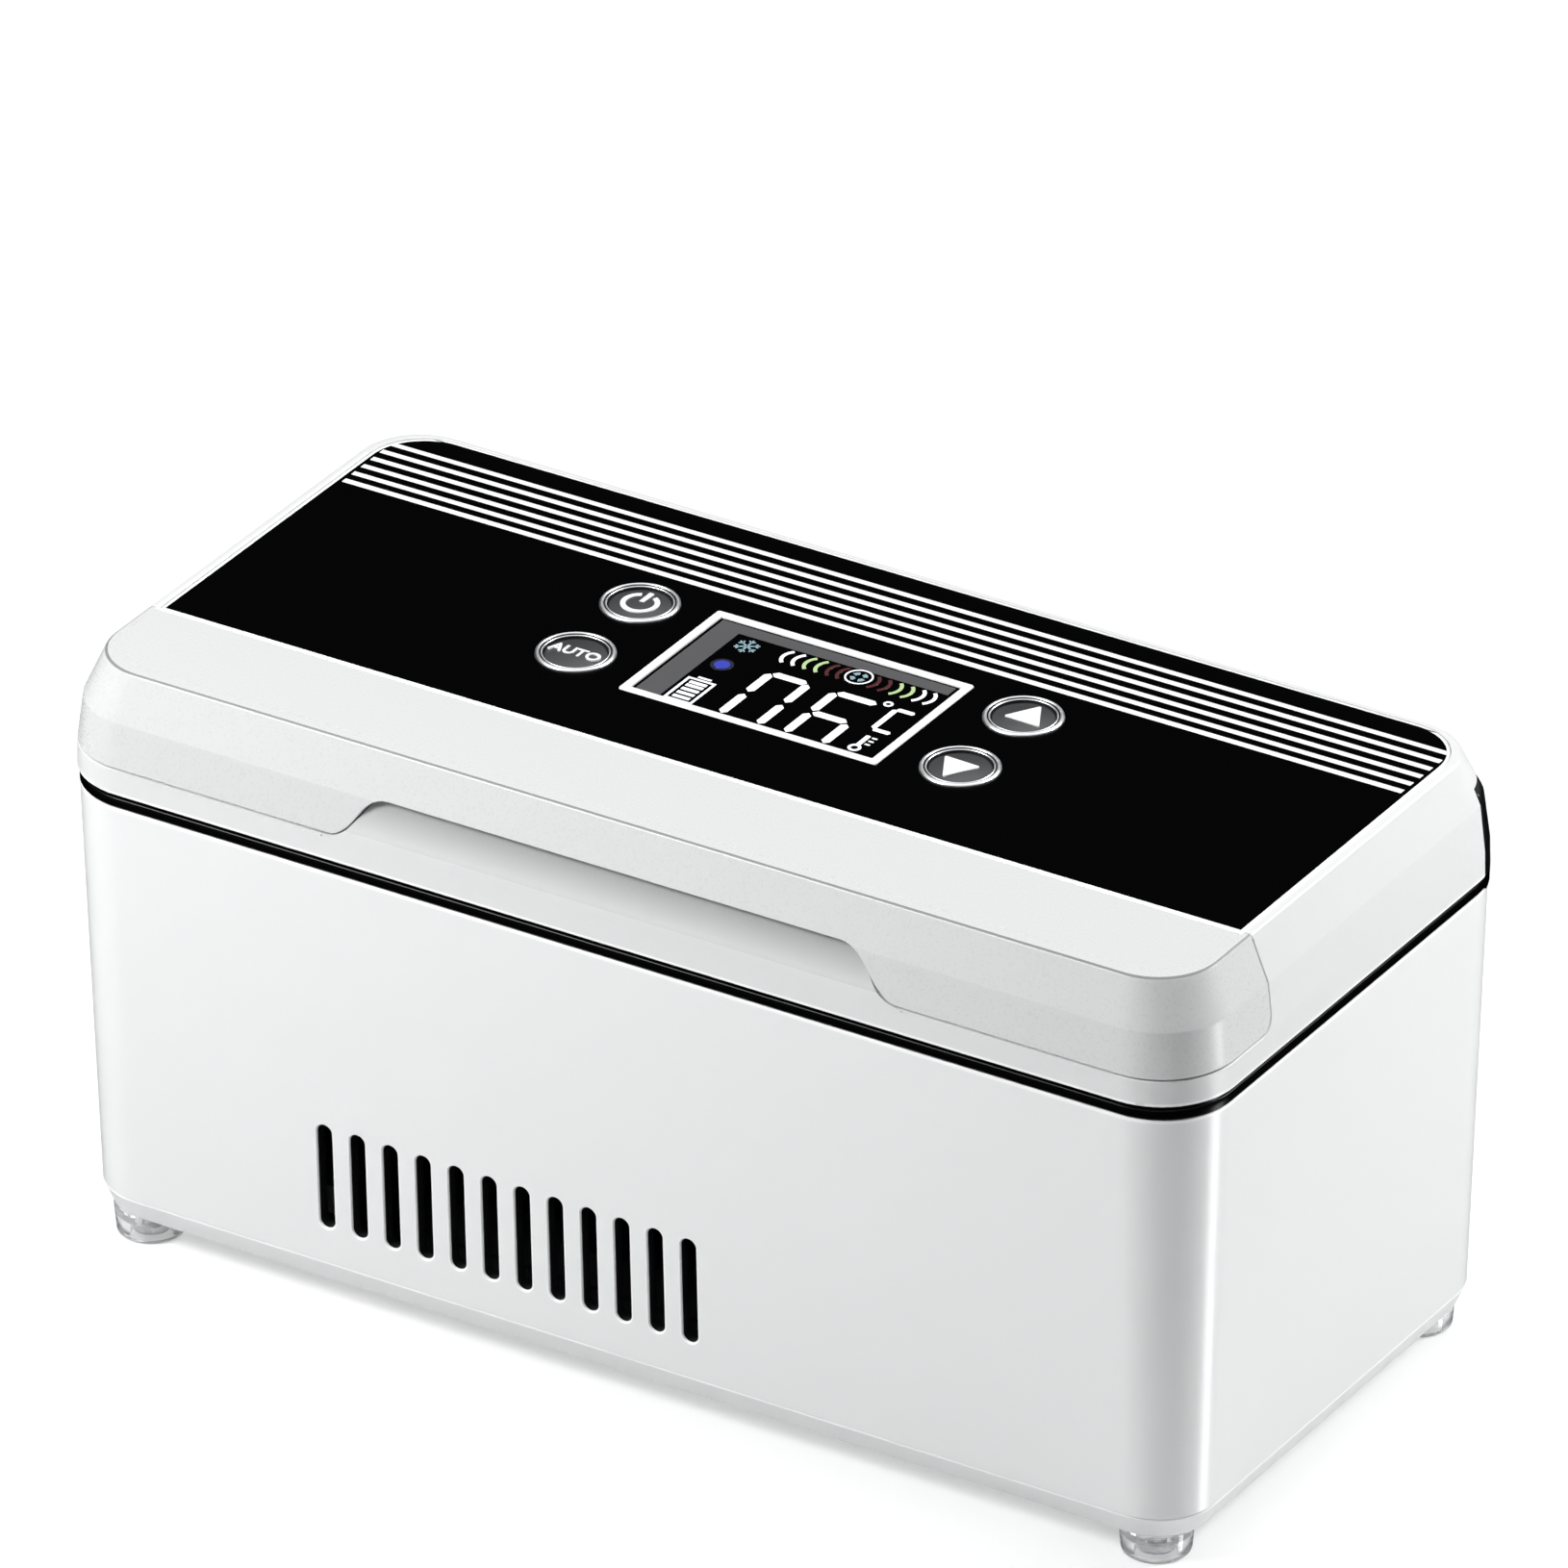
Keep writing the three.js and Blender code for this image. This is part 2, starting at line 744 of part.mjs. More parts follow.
function batteryCell(y) {
  const body = rodX(cellRadius, y, cellZ, cellStartX, cellStartX + cellLength, roundSides);
  const tipEnd = cellStartX + cellLength + cellTipLength;
  return body.add(rodX(cellTipRadius, y, cellZ, cellStartX + cellLength / 2, tipEnd));
}

// Main board, resting on the base plate's posts
const mainBoardTop = baseTop + boardPostHeight + boardThickness;

function mainBoard() {
  const halfX = boardLength / 2;
  const halfY = boardDepth / 2;
  return block(boardX - halfX, boardX + halfX, -halfY, halfY, mainBoardTop - boardThickness, mainBoardTop);
}

function boardConnector() {
  const x0 = boardX + connectorOffsetX - connectorLength / 2;
  const y0 = connectorY - connectorDepth / 2;
  const top = mainBoardTop + connectorHeight;
  const body = block(x0, x0 + connectorLength, y0, y0 + connectorDepth, mainBoardTop, top);
  const mouth = block(x0 + connectorWall, x0 + connectorLength - connectorWall, y0 + connectorWall,
    y0 + connectorDepth - connectorWall, mainBoardTop + connectorHeight / 2, top + overrun);
  return body.subtract(mouth);
}

function dcSocket() {
  const face = halfDepth - caseInsetAt(socketZ) - gap;
  const wallInside = face - caseWall;
  const half = socketWidth / 2;
  const rear = wallInside - gap;
  let socket = block(boardX - half, boardX + half, rear - socketDepth, rear,
    socketZ - half, socketZ + half);
  socket = socket.add(rodY(socketNose, boardX, socketZ, wallInside - socketDepth / 2, face, roundSides));
  socket = socket.subtract(rodY(socketBore, boardX, socketZ, face - socketBoreDepth, face + overrun,
    roundSides));
  return socket.add(rodY(socketPin, boardX, socketZ, face - socketBoreDepth - overrun / 2,
    face - socketPinSetback));
}

// The outline of the finger recess, from its foot at the groove up to its head, wider by grow
function waveShape(grow, low) {
  const shape = new THREE.Shape();
  const foot = waveFootX + grow;
  const head = waveHeadX + grow;
  const start = grooveZ + grow;
  const top = start + waveRise;
  shape.moveTo(-foot, low);
  shape.lineTo(-foot, start);
  shape.bezierCurveTo(-foot + waveFootHandle, start, -head - waveHeadHandle, top, -head, top);
  shape.lineTo(head, top);
  shape.bezierCurveTo(head + waveHeadHandle, top, foot - waveFootHandle, start, foot, start);
  shape.lineTo(foot, low);
  shape.closePath();
  return shape;
}

// What the scoop takes away, as a profile in Y and Z
function scoopShape() {
  const shape = new THREE.Shape();
  const start = lidBottom + scoopStart;
  const full = start + scoopFull;
  shape.moveTo(frontY - overrun, start);
  shape.lineTo(frontY, start);
  shape.bezierCurveTo(frontY + scoopMiddleIn, start + scoopMiddleUp, frontY + scoopDepth,
    full - scoopMiddleUp, frontY + scoopDepth, full);
  shape.lineTo(frontY + scoopDepth, height);
  shape.lineTo(frontY - overrun, height);
  shape.closePath();
  return shape;
}

// Lid shell: rim all round, sides and rear, ledge for the panel, recess and knuckles
function panelShape(grow) {
  const shape = new THREE.Shape();
  const half = panelHalfX + grow;
  const rear = panelRearY + grow;
  const radius = panelRadius + grow;
  shape.moveTo(-half, panelFrontY - grow);
  shape.lineTo(half, panelFrontY - grow);
  shape.absarc(half - radius, rear - radius, radius, 0, quarterTurn, false);
  shape.absarc(-half + radius, rear - radius, radius, quarterTurn, 2 * quarterTurn, false);
  shape.closePath();
  return shape;
}

function lidShell() {
  const coverRear = panelFrontY - panelFit;
  let shell = lidBody(0, lidBottom, height);
  shell = shell.intersect(clearOfRiser(gap + gap, overhangBottom).add(
    block(-width, width, -depth, depth, overhangBottom, height + overrun)));
  const cavity = lidBody(lidWall, lidBottom - overrun, cavityTop);
  shell = shell.subtract(cavity.intersect(clearOfRiser(gap + gap + lidWall, height)));
  shell = shell.subtract(prism(panelShape(panelFit), panelBottom, height + overrun, cornerSteps));
  shell = shell.subtract(prism(panelShape(-panelLedgeWidth), cavityTop - overrun, height));
  shell = shell.subtract(block(-width, width, -depth, coverRear + gap, grooveZ, height + overrun));
  const back = frontY + scoopDepth + scoopBack;
  const lip = waveFootX + scoopLip;
  const wallTop = grooveZ + waveRise + scoopLip;
  const backWall = block(-lip, lip, -depth, back, lidBottom, wallTop);
  shell = shell.add(backWall.intersect(lidBody(lidWall + gap, lidBottom, cavityTop)));
  shell = shell.add(frontPrism(waveShape(-gap, lidBottom + gap), frontY + lidGrooveInset, back));
  shell = shell.subtract(sidePrism(scoopShape(), -waveFootX, waveFootX));
  for (const [, x] of hingeSides()) {
    const half = knuckleLength / 2;
    const wallY = halfDepth - riserThickness - 2 * gap;
    shell = shell.add(rodX(knuckleRadius, hingeY, hingeZ, x - half, x + half));
    shell = shell.add(block(x - half, x + half, wallY - lidWall / 2, hingeY,
      hingeZ - knuckleArm / 2, hingeZ + knuckleArm / 2));
    shell = shell.subtract(rodX(pinBore, hingeY, hingeZ, x - half - overrun, x + half + overrun));
  }
  return shell;
}

// Front cover: top strip, front and both corners, open under its wavy lower edge
function lidFrontCover() {
  const rear = panelFrontY - panelFit;
  let cover = lidBody(0, grooveZ + gap / 2, height);
  cover = cover.subtract(lidBody(lidWall, lidBottom, height - lidRoof));
  cover = cover.intersect(block(-width, width, -depth, rear, 0, height + overrun));
  const wave = waveShape(0, lidBottom);
  return cover.subtract(frontPrism(wave, frontY - overrun, frontY + 2 * lidWall + overrun));
}

function topPanel() {
  let panel = prism(panelShape(0), panelBottom, panelTop, cornerSteps);
  const halfX = displayWidth / 2 + displayFit;
  const halfY = displayDepth / 2 + displayFit;
  panel = panel.subtract(block(-halfX, halfX, displayY - halfY, displayY + halfY, 0, height + overrun));
  for (const [, x, y] of buttonPlaces()) {
    panel = panel.subtract(rodZ(ringRadius + displayFit, x, y, 0, height + overrun, roundSides));
  }
  return panel;
}

// Display, from its bezel down to the module on the board
function displaySlab(inset, z0, z1) {
  const halfX = displayWidth / 2 - inset;
  const halfY = displayDepth / 2 - inset;
  return block(-halfX, halfX, displayY - halfY, displayY + halfY, z0, z1);
}

function displayBezel() {
  const frame = displaySlab(0, panelBottom, panelTop + bezelProud);
  return frame.subtract(displaySlab(bezelWidth, 0, height + overrun));
}

// Buttons
function buttonPlaces() {
  return [
    ['power', -buttonX, buttonRearY],
    ['auto', -buttonX, buttonFrontY],
    ['up', buttonX, buttonRearY],
    ['down', buttonX, buttonFrontY],
  ];
}

function buttonRing(x, y) {
  const top = panelTop + ringProud;
  return turned([
    [ringBore, ringBottom],
    [ringFlangeRadius, ringBottom],
    [ringFlangeRadius, panelBottom],
    [ringRadius, panelBottom],
    [ringRadius, panelTop],
    [ringRadius - ringProud, top],
    [ringBore + ringProud, top],
    [ringBore, panelTop],
    [ringBore, ringBottom],
  ], x, y);
}

function button(x, y) {
  const top = panelTop + buttonProud;
  return turned([
    [0, buttonBottom],
    [buttonFlangeRadius, buttonBottom],
    [buttonFlangeRadius, buttonBottom + buttonFlange],
    [buttonRadius, buttonBottom + buttonFlange],
    [buttonRadius, top - buttonDish],
    [buttonRadius - buttonDish, top],
    [0, top - buttonDish],
  ], x, y);
}

function tactSwitch(x, y) {
  const half = switchSize / 2;
  const bodyTop = controlBoardTop + switchBody;
  const body = block(x - half, x + half, y - half, y + half, controlBoardTop, bodyTop);
  return body.add(rodZ(switchPlungerRadius, x, y, controlBoardTop, bodyTop + switchPlunger));
}

function controlBoard() {
  const halfX = controlBoardLength / 2;
  const halfY = controlBoardDepth / 2;
  return block(-halfX, halfX, displayY - halfY, displayY + halfY, controlBoardBottom, controlBoardTop);
}

// Lid inside: lining with its plug, foam above it and the seal round the plug
function plugShape(inset) {
  const halfX = chamberLength / 2 - plugClearanceX - inset;
  const halfY = chamberWidth / 2 - plugClearanceY - inset;
  return roundedRectangle(halfX, halfY, chamberRadius - inset);
}

const plugBottom = deckTop - plugReach;

function lidLiner() {
  const plate = outlinePrism(lidWall + gap, liningBottom, liningTop);
  let lining = plate.intersect(clearOfRiser(2 * gap + lidWall + gap, height));
  const scoopRear = frontY + scoopDepth + scoopBack + gap;
  lining = lining.subtract(block(-waveFootX - scoopLip - gap, waveFootX + scoopLip + gap, -depth, scoopRear,
    0, height));
  lining = lining.add(prism(plugShape(0), plugBottom, liningTop));
  lining = lining.subtract(prism(plugShape(plugWall), plugBottom + plugWall, height));
  return lining.subtract(rodZ(latchRadius + displayFit, latchX, latchY, 0, liningBottom + latchThickness));
}

function lidInsulation() {
  const slab = block(-halfWidth + lidFoamSide, halfWidth - lidFoamSide, frontY + lidFoamFront,
    halfDepth - lidFoamRear, liningTop + gap, controlBoardBottom - gap);
  return slab.add(prism(plugShape(plugWall + gap), plugBottom + plugWall + gap, liningTop + gap + overrun));
}

function lidSeal() {
  const ring = prism(chamberShape(sealOffset + sealWidth), deckTop + gap, liningBottom);
  return ring.subtract(prism(chamberShape(sealOffset), 0, height));
}

function latchMagnet() {
  return rodZ(latchRadius, latchX, latchY, liningBottom, liningBottom + latchThickness);
}

// The assembly
function addCase(group) {
  addPiece(group, 'lower_case', lowerCase(), whiteGloss);
  addPiece(group, 'base_plate', basePlate(), whiteSatin);
  for (const [place, sideX, sideY] of cornerPlaces) {
    const x = sideX * postPlaceX;
    const y = sideY * postPlaceY;
    addPiece(group, `foot_${place}`, foot(x, y), clearPlastic);
    addPiece(group, `base_screw_${place}`, baseScrew(x, y), steel);
  }
  addPiece(group, 'seam_frame', seamFrame(), blackSatin);
  for (const [side, x] of hingeSides()) addPiece(group, `hinge_pin_${side}`, hingePin(x), steel);
  addPiece(group, 'inner_frame', innerFrame(), whiteSatin);
  addPiece(group, 'latch_plate', latchPlate(), steel);
  addPiece(group, 'chamber_liner', chamberLiner(), aluminium);
  addPiece(group, 'insulation_block', insulationBlock(), foam);
  addPiece(group, 'pen_tray', penTray(), whiteSatin);
  addPiece(group, 'temperature_probe', temperatureProbe(), darkPart);
}

function addCooler(group) {
  addPiece(group, 'cold_plate', squarePlate(coldPlateSize, coldPlateBottom, coldPlateThickness), aluminium);
  addPiece(group, 'peltier_module', squarePlate(peltierSize, peltierBottom, peltierThickness), ceramic);
  addPiece(group, 'heat_sink', heatSink(), aluminium);
  addPiece(group, 'fan_frame', fanFrame(), darkPart);
  addPiece(group, 'fan_rotor', fanRotor(), darkPart);
}

function addPower(group) {
  addPiece(group, 'battery_cradle', batteryCradle(), darkPart);
  cellRow().forEach((y, i) => addPiece(group, `battery_cell_${i + 1}`, batteryCell(y), cellWrap));
  addPiece(group, 'main_board', mainBoard(), boardGreen);
  const inductorX = boardX + inductorOffsetX;
  const inductorTop = mainBoardTop + inductorHeight;
  const inductor = rodZ(inductorRadius, inductorX, inductorY, mainBoardTop, inductorTop, roundSides);
  addPiece(group, 'power_inductor', inductor, darkPart);
  const capacitorX = boardX + capacitorOffsetX;
  const capacitorTop = mainBoardTop + capacitorHeight;
  const capacitor = rodZ(capacitorRadius, capacitorX, capacitorY, mainBoardTop, capacitorTop, roundSides);
  addPiece(group, 'filter_capacitor', capacitor, aluminium);
  addPiece(group, 'board_connector', boardConnector(), ceramic);
  addPiece(group, 'dc_socket', dcSocket(), darkPart);
}

function addLid(group) {
  addPiece(group, 'lid_shell', lidShell(), whiteSatin);
  addPiece(group, 'lid_front_cover', lidFrontCover(), whiteGloss);
  addPiece(group, 'top_panel', topPanel(), blackGloss);
  addPiece(group, 'display_bezel', displayBezel(), bezelWhite);
  const windowTop = panelTop - windowSetback;
  const windowBottom = panelBottom - displayFit;
  const glass = displaySlab(bezelWidth + displayFit, windowBottom, windowTop);
  addPiece(group, 'display_window', glass, displayGlass);
  const moduleTop = windowBottom - gap;
  addPiece(group, 'display_module', displaySlab(bezelWidth / 2, controlBoardTop, moduleTop), darkPart);
  addPiece(group, 'control_board', controlBoard(), boardGreen);
  for (const [sign, x, y] of buttonPlaces()) {
    addPiece(group, `button_ring_${sign}`, buttonRing(x, y), chrome);
    addPiece(group, `button_${sign}`, button(x, y), buttonFace);
    addPiece(group, `tact_switch_${sign}`, tactSwitch(x, y), darkPart);
  }
  addPiece(group, 'lid_insulation', lidInsulation(), foam);
  addPiece(group, 'lid_liner', lidLiner(), whiteSatin);
  addPiece(group, 'lid_seal', lidSeal(), rubber);
  addPiece(group, 'latch_magnet', latchMagnet(), steel);
}

for (const add of [addCase, addCooler, addPower, addLid]) {
  const section = new THREE.Group();
  add(section);
  coolingCase.add(section);
}

export default coolingCase;
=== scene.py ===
"""Looks of the insulin cooling case: shells, display, buttons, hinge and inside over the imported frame.
Sizes are in millimetres and turned to metres by MM. X runs along the front, which faces -Y, and Z is up."""

import math

import bmesh
import bpy
from mathutils import Matrix, Vector


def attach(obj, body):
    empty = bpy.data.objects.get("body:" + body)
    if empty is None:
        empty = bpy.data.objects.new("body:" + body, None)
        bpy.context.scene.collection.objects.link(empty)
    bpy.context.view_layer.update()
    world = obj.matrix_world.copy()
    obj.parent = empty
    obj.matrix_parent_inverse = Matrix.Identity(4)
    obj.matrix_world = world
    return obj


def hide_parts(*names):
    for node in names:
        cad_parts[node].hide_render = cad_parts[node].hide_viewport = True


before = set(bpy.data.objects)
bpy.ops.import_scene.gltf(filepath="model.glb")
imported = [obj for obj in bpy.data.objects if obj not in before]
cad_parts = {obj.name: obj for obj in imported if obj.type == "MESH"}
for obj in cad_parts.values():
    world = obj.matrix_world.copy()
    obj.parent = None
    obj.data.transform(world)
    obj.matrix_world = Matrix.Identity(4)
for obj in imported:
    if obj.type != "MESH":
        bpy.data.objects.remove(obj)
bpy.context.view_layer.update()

MM = 0.001
CORNER_STEPS = 14
ROUND_SIDES = 64

# Sizes of the case, as in the part's source. Heights are counted from a plane above the floor, and fit()
# raises each finished piece by DATUM.
DATUM = 3.2
HALF_X, HALF_Y, CORNER = 105.0, 50.5, 13.0
BASE_BOTTOM, BASE_FLOOR, BASE_TOP = 2.0, 4.2, 6.0
CASE_TOP, SEAM_LOW, RING_TOP = 79.7, 78.65, 80.9
LID_BOTTOM, GROOVE, FACET, LID_TOP = 81.15, 85.7, 93.6, 101.3
COVER_LOW = GROOVE + 0.08
LID_PROFILE = [(LID_BOTTOM, 0.0), (GROOVE, 0.1), (FACET, 1.0), (LID_TOP, 4.2)]
RISER_START, RISER_WALL, RISER_TOP = 40.2, 3.2, 95.0
HINGE_Y, HINGE_Z, HINGE_X = 48.9, 94.0, 62.0
OVERHANG = 96.2
PANEL_HALF, PANEL_FRONT, PANEL_REAR, PANEL_TOP, PANEL_BOTTOM = 99.2, -25.8, 45.3, 101.1, 99.3
DISPLAY_Y, DISPLAY_HALF_X, DISPLAY_HALF_Y = 4.8, 23.7, 14.95
COOLER_X = -20.86
SLOT_COUNT, SLOT_PITCH, SLOT_WIDE, SLOT_LOW, SLOT_HIGH = 12, 6.155, 2.8, 12.5, 31.5
INLET_X, INLET_Z = -78.0, 21.0
BUTTONS = {"power": (-35.4, 15.1), "auto": (-35.4, -3.9), "up": (35.4, 15.1), "down": (35.4, -3.9)}
FOOT_X, FOOT_Y = 93.5, 40.3
FEET = {f"{end}_{side}": (x, y) for end, y in (("front", -FOOT_Y), ("rear", FOOT_Y))
        for side, x in (("left", -FOOT_X), ("right", FOOT_X))}
SCREW_BORE, POST_RADIUS, POST_HEIGHT, RIB_HALF = 1.7, 4.0, 12.0, 1.2
WALL, WALL_FOOT, WALL_HEAD = 2.4, 2.6, 0.3
LID_WALL, BACK_WALL_HALF = 2.2, 54.5
# The third number is the width of the white rim painted as highlight round the panel, and the fourth that of
# the painted highlight on the lid beside it.
PANEL_GAP, PANEL_CORNER, HIGHLIGHT_BORDER, BRIGHT_RIM = 0.06, 10.0, 0.6, 0.5
PIN_BORE, KNUCKLE, KNUCKLE_HALF = 1.0, 1.6, 7.0
CHAMBER_X, CHAMBER_Y, CHAMBER_CORNER = 87.5, 25.0, 5.0
LATCH_Y, LATCH_ROOM = -38.0, 3.1
LCD_LEFT, LCD_FRONT, LCD_TOP, INK = -23.8, -10.3, 101.0, 0.05

# Edges sharper than the first are softened, and those flatter than the second shade as one face.
SHARP_EDGE, SMOOTH_EDGE = math.radians(28), math.radians(32)

# Cutting bodies end at these heights, well past what they cut.
SOLID_UP, SOLID_DOWN = 110.0, 70.0

# The handle of a curve that turns a quarter circle, as a share of its radius.
ROUND_HANDLE = 0.5523


# Working on one piece at a time

def let_go():
    if bpy.context.mode != "OBJECT":
        bpy.ops.object.mode_set(mode="OBJECT")
    bpy.ops.object.select_all(action="DESELECT")


def take(piece):
    let_go()
    piece.select_set(True)
    bpy.context.view_layer.objects.active = piece


def edit(piece, mode="VERT"):
    take(piece)
    bpy.ops.object.mode_set(mode="EDIT")
    bpy.ops.mesh.select_mode(type=mode)


def settle(piece):
    """Puts the piece's place into its mesh, merges doubles and turns its faces outwards."""
    take(piece)
    bpy.ops.object.transform_apply(location=True, rotation=True, scale=True)
    edit(piece)
    bpy.ops.mesh.select_all(action="SELECT")
    bpy.ops.mesh.remove_doubles(threshold=0.002 * MM)
    bpy.ops.mesh.normals_make_consistent(inside=False)
    let_go()
    return piece


def copy_of(piece, name, shift):
    """A copy with its own mesh, moved by shift."""
    twin = piece.copy()
    twin.data = piece.data.copy()
    twin.name = name
    bpy.context.scene.collection.objects.link(twin)
    twin.data.transform(Matrix.Translation(Vector(shift) * MM))
    return twin


def join(first, *others):
    take(first)
    for other in others:
        other.select_set(True)
    bpy.ops.object.join()
    let_go()
    return first


def turn(piece, degrees, axis):
    """Turns the mesh about an axis through the origin."""
    piece.data.transform(Matrix.Rotation(math.radians(degrees), 4, axis))
    return piece


def shift(piece, x, y, z):
    piece.data.transform(Matrix.Translation(Vector((x, y, z)) * MM))
    return piece


# Outlines of the case and the lid

def case_inset(z):
    return WALL_FOOT - (WALL_FOOT - WALL_HEAD) * (z - BASE_TOP) / (CASE_TOP - BASE_TOP)


def faces_out(point, normal):
    """True where a face looks away from the case's upright middle line."""
    return normal.x * point.x + normal.y * point.y > 0


def lid_inset(z):
    for (low, inset), (high, next_inset) in zip(LID_PROFILE, LID_PROFILE[1:]):
        if z <= high:
            return max(inset + (next_inset - inset) * (z - low) / (high - low), 0.0)
    return LID_PROFILE[-1][1]


def eased(profile, steps=4):
    """Rounds the corners of a profile of (inset, z, radius): each sharp one becomes a short arc."""
    points = []
    for number, (a, z, radius) in enumerate(profile):
        here = Vector((a, z))
        if not radius or number in (0, len(profile) - 1):
            points.append((a, z))
            continue
        before = (Vector(profile[number - 1][:2]) - here).normalized()
        after = (Vector(profile[number + 1][:2]) - here).normalized()
        half = before.angle(after) / 2
        reach = radius / math.tan(half)
        middle = here + (before + after).normalized() * radius / math.sin(half)
        start, end = here + before * reach - middle, here + after * reach - middle
        swing = start.angle_signed(end)
        for step in range(steps + 1):
            spoke = start.copy()
            spoke.rotate(Matrix.Rotation(-swing * step / steps, 2))
            points.append(tuple(middle + spoke))
    return points


def case_rings(profile):
    return [(HALF_X - a, HALF_Y - a, CORNER - a, z) for a, z in profile]


def lid_rings(profile, extra=0.0):
    return [(HALF_X - a - extra, HALF_Y - a - extra, CORNER - 0.6 * a - extra, z) for a, z in profile]


def box_rings(half_x, half_y, radius, profile, y=0.0):
    """Rings of a rounded block. The profile's first number is how far in it lies."""
    return [(half_x - a, half_y - a, max(radius - a, 0.2), z, 0.0, y) for a, z in profile]


def stack(name, rings, closed=False, steps=CORNER_STEPS):
    """A body through rounded rectangles (half x, half y, radius, z, centre x, centre y). They are drawn
    well apart, bridged one to the next and only then moved to their heights. closed joins the last to the
    first, and otherwise both ends are filled."""
    let_go()
    for number, (half_x, half_y, radius, z, *centre) in enumerate(rings, 1):
        spot = Vector((*(centre or (0.0, 0.0)), 10.0 * number)) * MM
        if number == 1:
            bpy.ops.mesh.primitive_plane_add(size=2 * MM, location=(0, 0, 0))
            piece = bpy.context.object
            piece.name = piece.data.name = name
            bpy.ops.object.mode_set(mode="EDIT")
            bpy.ops.mesh.select_mode(type="VERT")
            bpy.ops.mesh.select_all(action="SELECT")
            bpy.ops.transform.translate(value=spot)
        else:
            bpy.ops.mesh.select_mode(type="VERT")
            bpy.ops.mesh.select_all(action="DESELECT")
            bpy.ops.mesh.primitive_plane_add(size=2 * MM, location=spot)
        bpy.ops.transform.resize(value=(half_x, half_y, 1), center_override=spot)
        bpy.ops.mesh.bevel(offset=radius * MM, segments=steps, affect="VERTICES", clamp_overlap=False)
        bpy.ops.mesh.delete(type="ONLY_FACE")
        mesh = bmesh.from_edit_mesh(piece.data)
        ring = mesh.verts.layers.int.get("ring") or mesh.verts.layers.int.new("ring")
        for corner in mesh.verts:
            corner[ring] = corner[ring] or number

    def choose(which):
        bpy.ops.mesh.select_mode(type="EDGE")
        bpy.ops.mesh.select_all(action="DESELECT")
        mesh = bmesh.from_edit_mesh(piece.data)
        ring = mesh.verts.layers.int["ring"]
        for edge in mesh.edges:
            a, b = (corner[ring] for corner in edge.verts)
            edge.select_set(a == b and a in which)
        bmesh.update_edit_mesh(piece.data)

    pairs = list(zip(range(1, number), range(2, number + 1)))
    for pair in [*pairs, (1, number)] if closed else pairs:
        choose(pair)
        bpy.ops.mesh.bridge_edge_loops()
    for number, (_, _, _, z, *_) in enumerate(rings, 1):
        choose((number,))
        if not closed and number in (1, len(rings)):
            bpy.ops.mesh.edge_face_add()
        bpy.ops.transform.translate(value=(0, 0, (z - 10.0 * number) * MM))
    mesh = bmesh.from_edit_mesh(piece.data)
    mesh.verts.layers.int.remove(mesh.verts.layers.int["ring"])
    bmesh.update_edit_mesh(piece.data)
    bpy.ops.mesh.select_all(action="SELECT")
    bpy.ops.mesh.normals_make_consistent(inside=False)
    let_go()
    return piece


def turned(name, profile, closed=False, sides=ROUND_SIDES):
    """A round body from a profile of (radius, z), drawn up ring by ring. closed joins its ends, for a
    tube, and otherwise both are filled."""
    let_go()
    radius, height = profile[0]
    bpy.ops.mesh.primitive_circle_add(vertices=sides, radius=radius * MM, location=(0, 0, 0))
    piece = bpy.context.object
    piece.name = piece.data.name = name
    bpy.ops.object.mode_set(mode="EDIT")
    bpy.ops.mesh.select_mode(type="EDGE")
    bpy.ops.mesh.select_all(action="SELECT")
    bpy.ops.transform.translate(value=(0, 0, height * MM))
    for wide, z in profile[1:]:
        bpy.ops.mesh.extrude_edges_move()
        bpy.ops.transform.translate(value=(0, 0, (z - height) * MM))
        share = wide / radius
        bpy.ops.transform.resize(value=(share, share, 1), center_override=(0, 0, z * MM))
        radius, height = wide, z
    if not closed:
        bpy.ops.mesh.select_all(action="SELECT")
        bpy.ops.mesh.fill_holes(sides=0)
    let_go()
    return settle(piece)


def prism(name, corners, across, start, end, steps=16):
    """An outline pushed through from start to end along the axis across. A corner is (a, b), or (a, b,
    handle before, handle after) where the line curves. It is drawn in the two other axes, in order."""
    line = bpy.data.curves.new(name, "CURVE")
    line.dimensions, line.fill_mode, line.resolution_u = "2D", "BOTH", steps
    line.extrude = (end - start) / 2 * MM
    spline = line.splines.new("BEZIER")
    spline.bezier_points.add(len(corners) - 1)
    spline.use_cyclic_u = True
    for point, (a, b, *handles) in zip(spline.bezier_points, corners):
        point.co = (a * MM, b * MM, 0)
        point.handle_left_type = point.handle_right_type = "FREE" if handles else "VECTOR"
        if handles:
            before, after = (Vector((*spot, 0)) * MM if spot else Vector() for spot in handles)
            point.handle_left = before if handles[0] else point.co
            point.handle_right = after if handles[1] else point.co
    piece = bpy.data.objects.new(name, line)
    bpy.context.scene.collection.objects.link(piece)
    take(piece)
    bpy.ops.object.convert(target="MESH")
    middle = (start + end) / 2 * MM
    if across == "y":
        place = Matrix.Translation((0, middle, 0)) @ Matrix.Rotation(math.radians(90), 4, "X")
    elif across == "x":
        place = Matrix(((0, 0, 1, middle), (1, 0, 0, 0), (0, 1, 0, 0), (0, 0, 0, 1)))
    else:
        place = Matrix.Translation((0, 0, middle))
    piece.data.transform(place)
    return settle(piece)


def slab(name, x0, x1, y0, y1, z0, z1):
    """A plain block, used to cut with or as the start of a piece."""
    let_go()
    bpy.ops.mesh.primitive_cube_add(size=MM, location=(0, 0, 0))
    piece = bpy.context.object
    piece.name = piece.data.name = name
    piece.data.transform(Matrix.Diagonal((x1 - x0, y1 - y0, z1 - z0, 1)))
    return shift(piece, (x0 + x1) / 2, (y0 + y1) / 2, (z0 + z1) / 2)


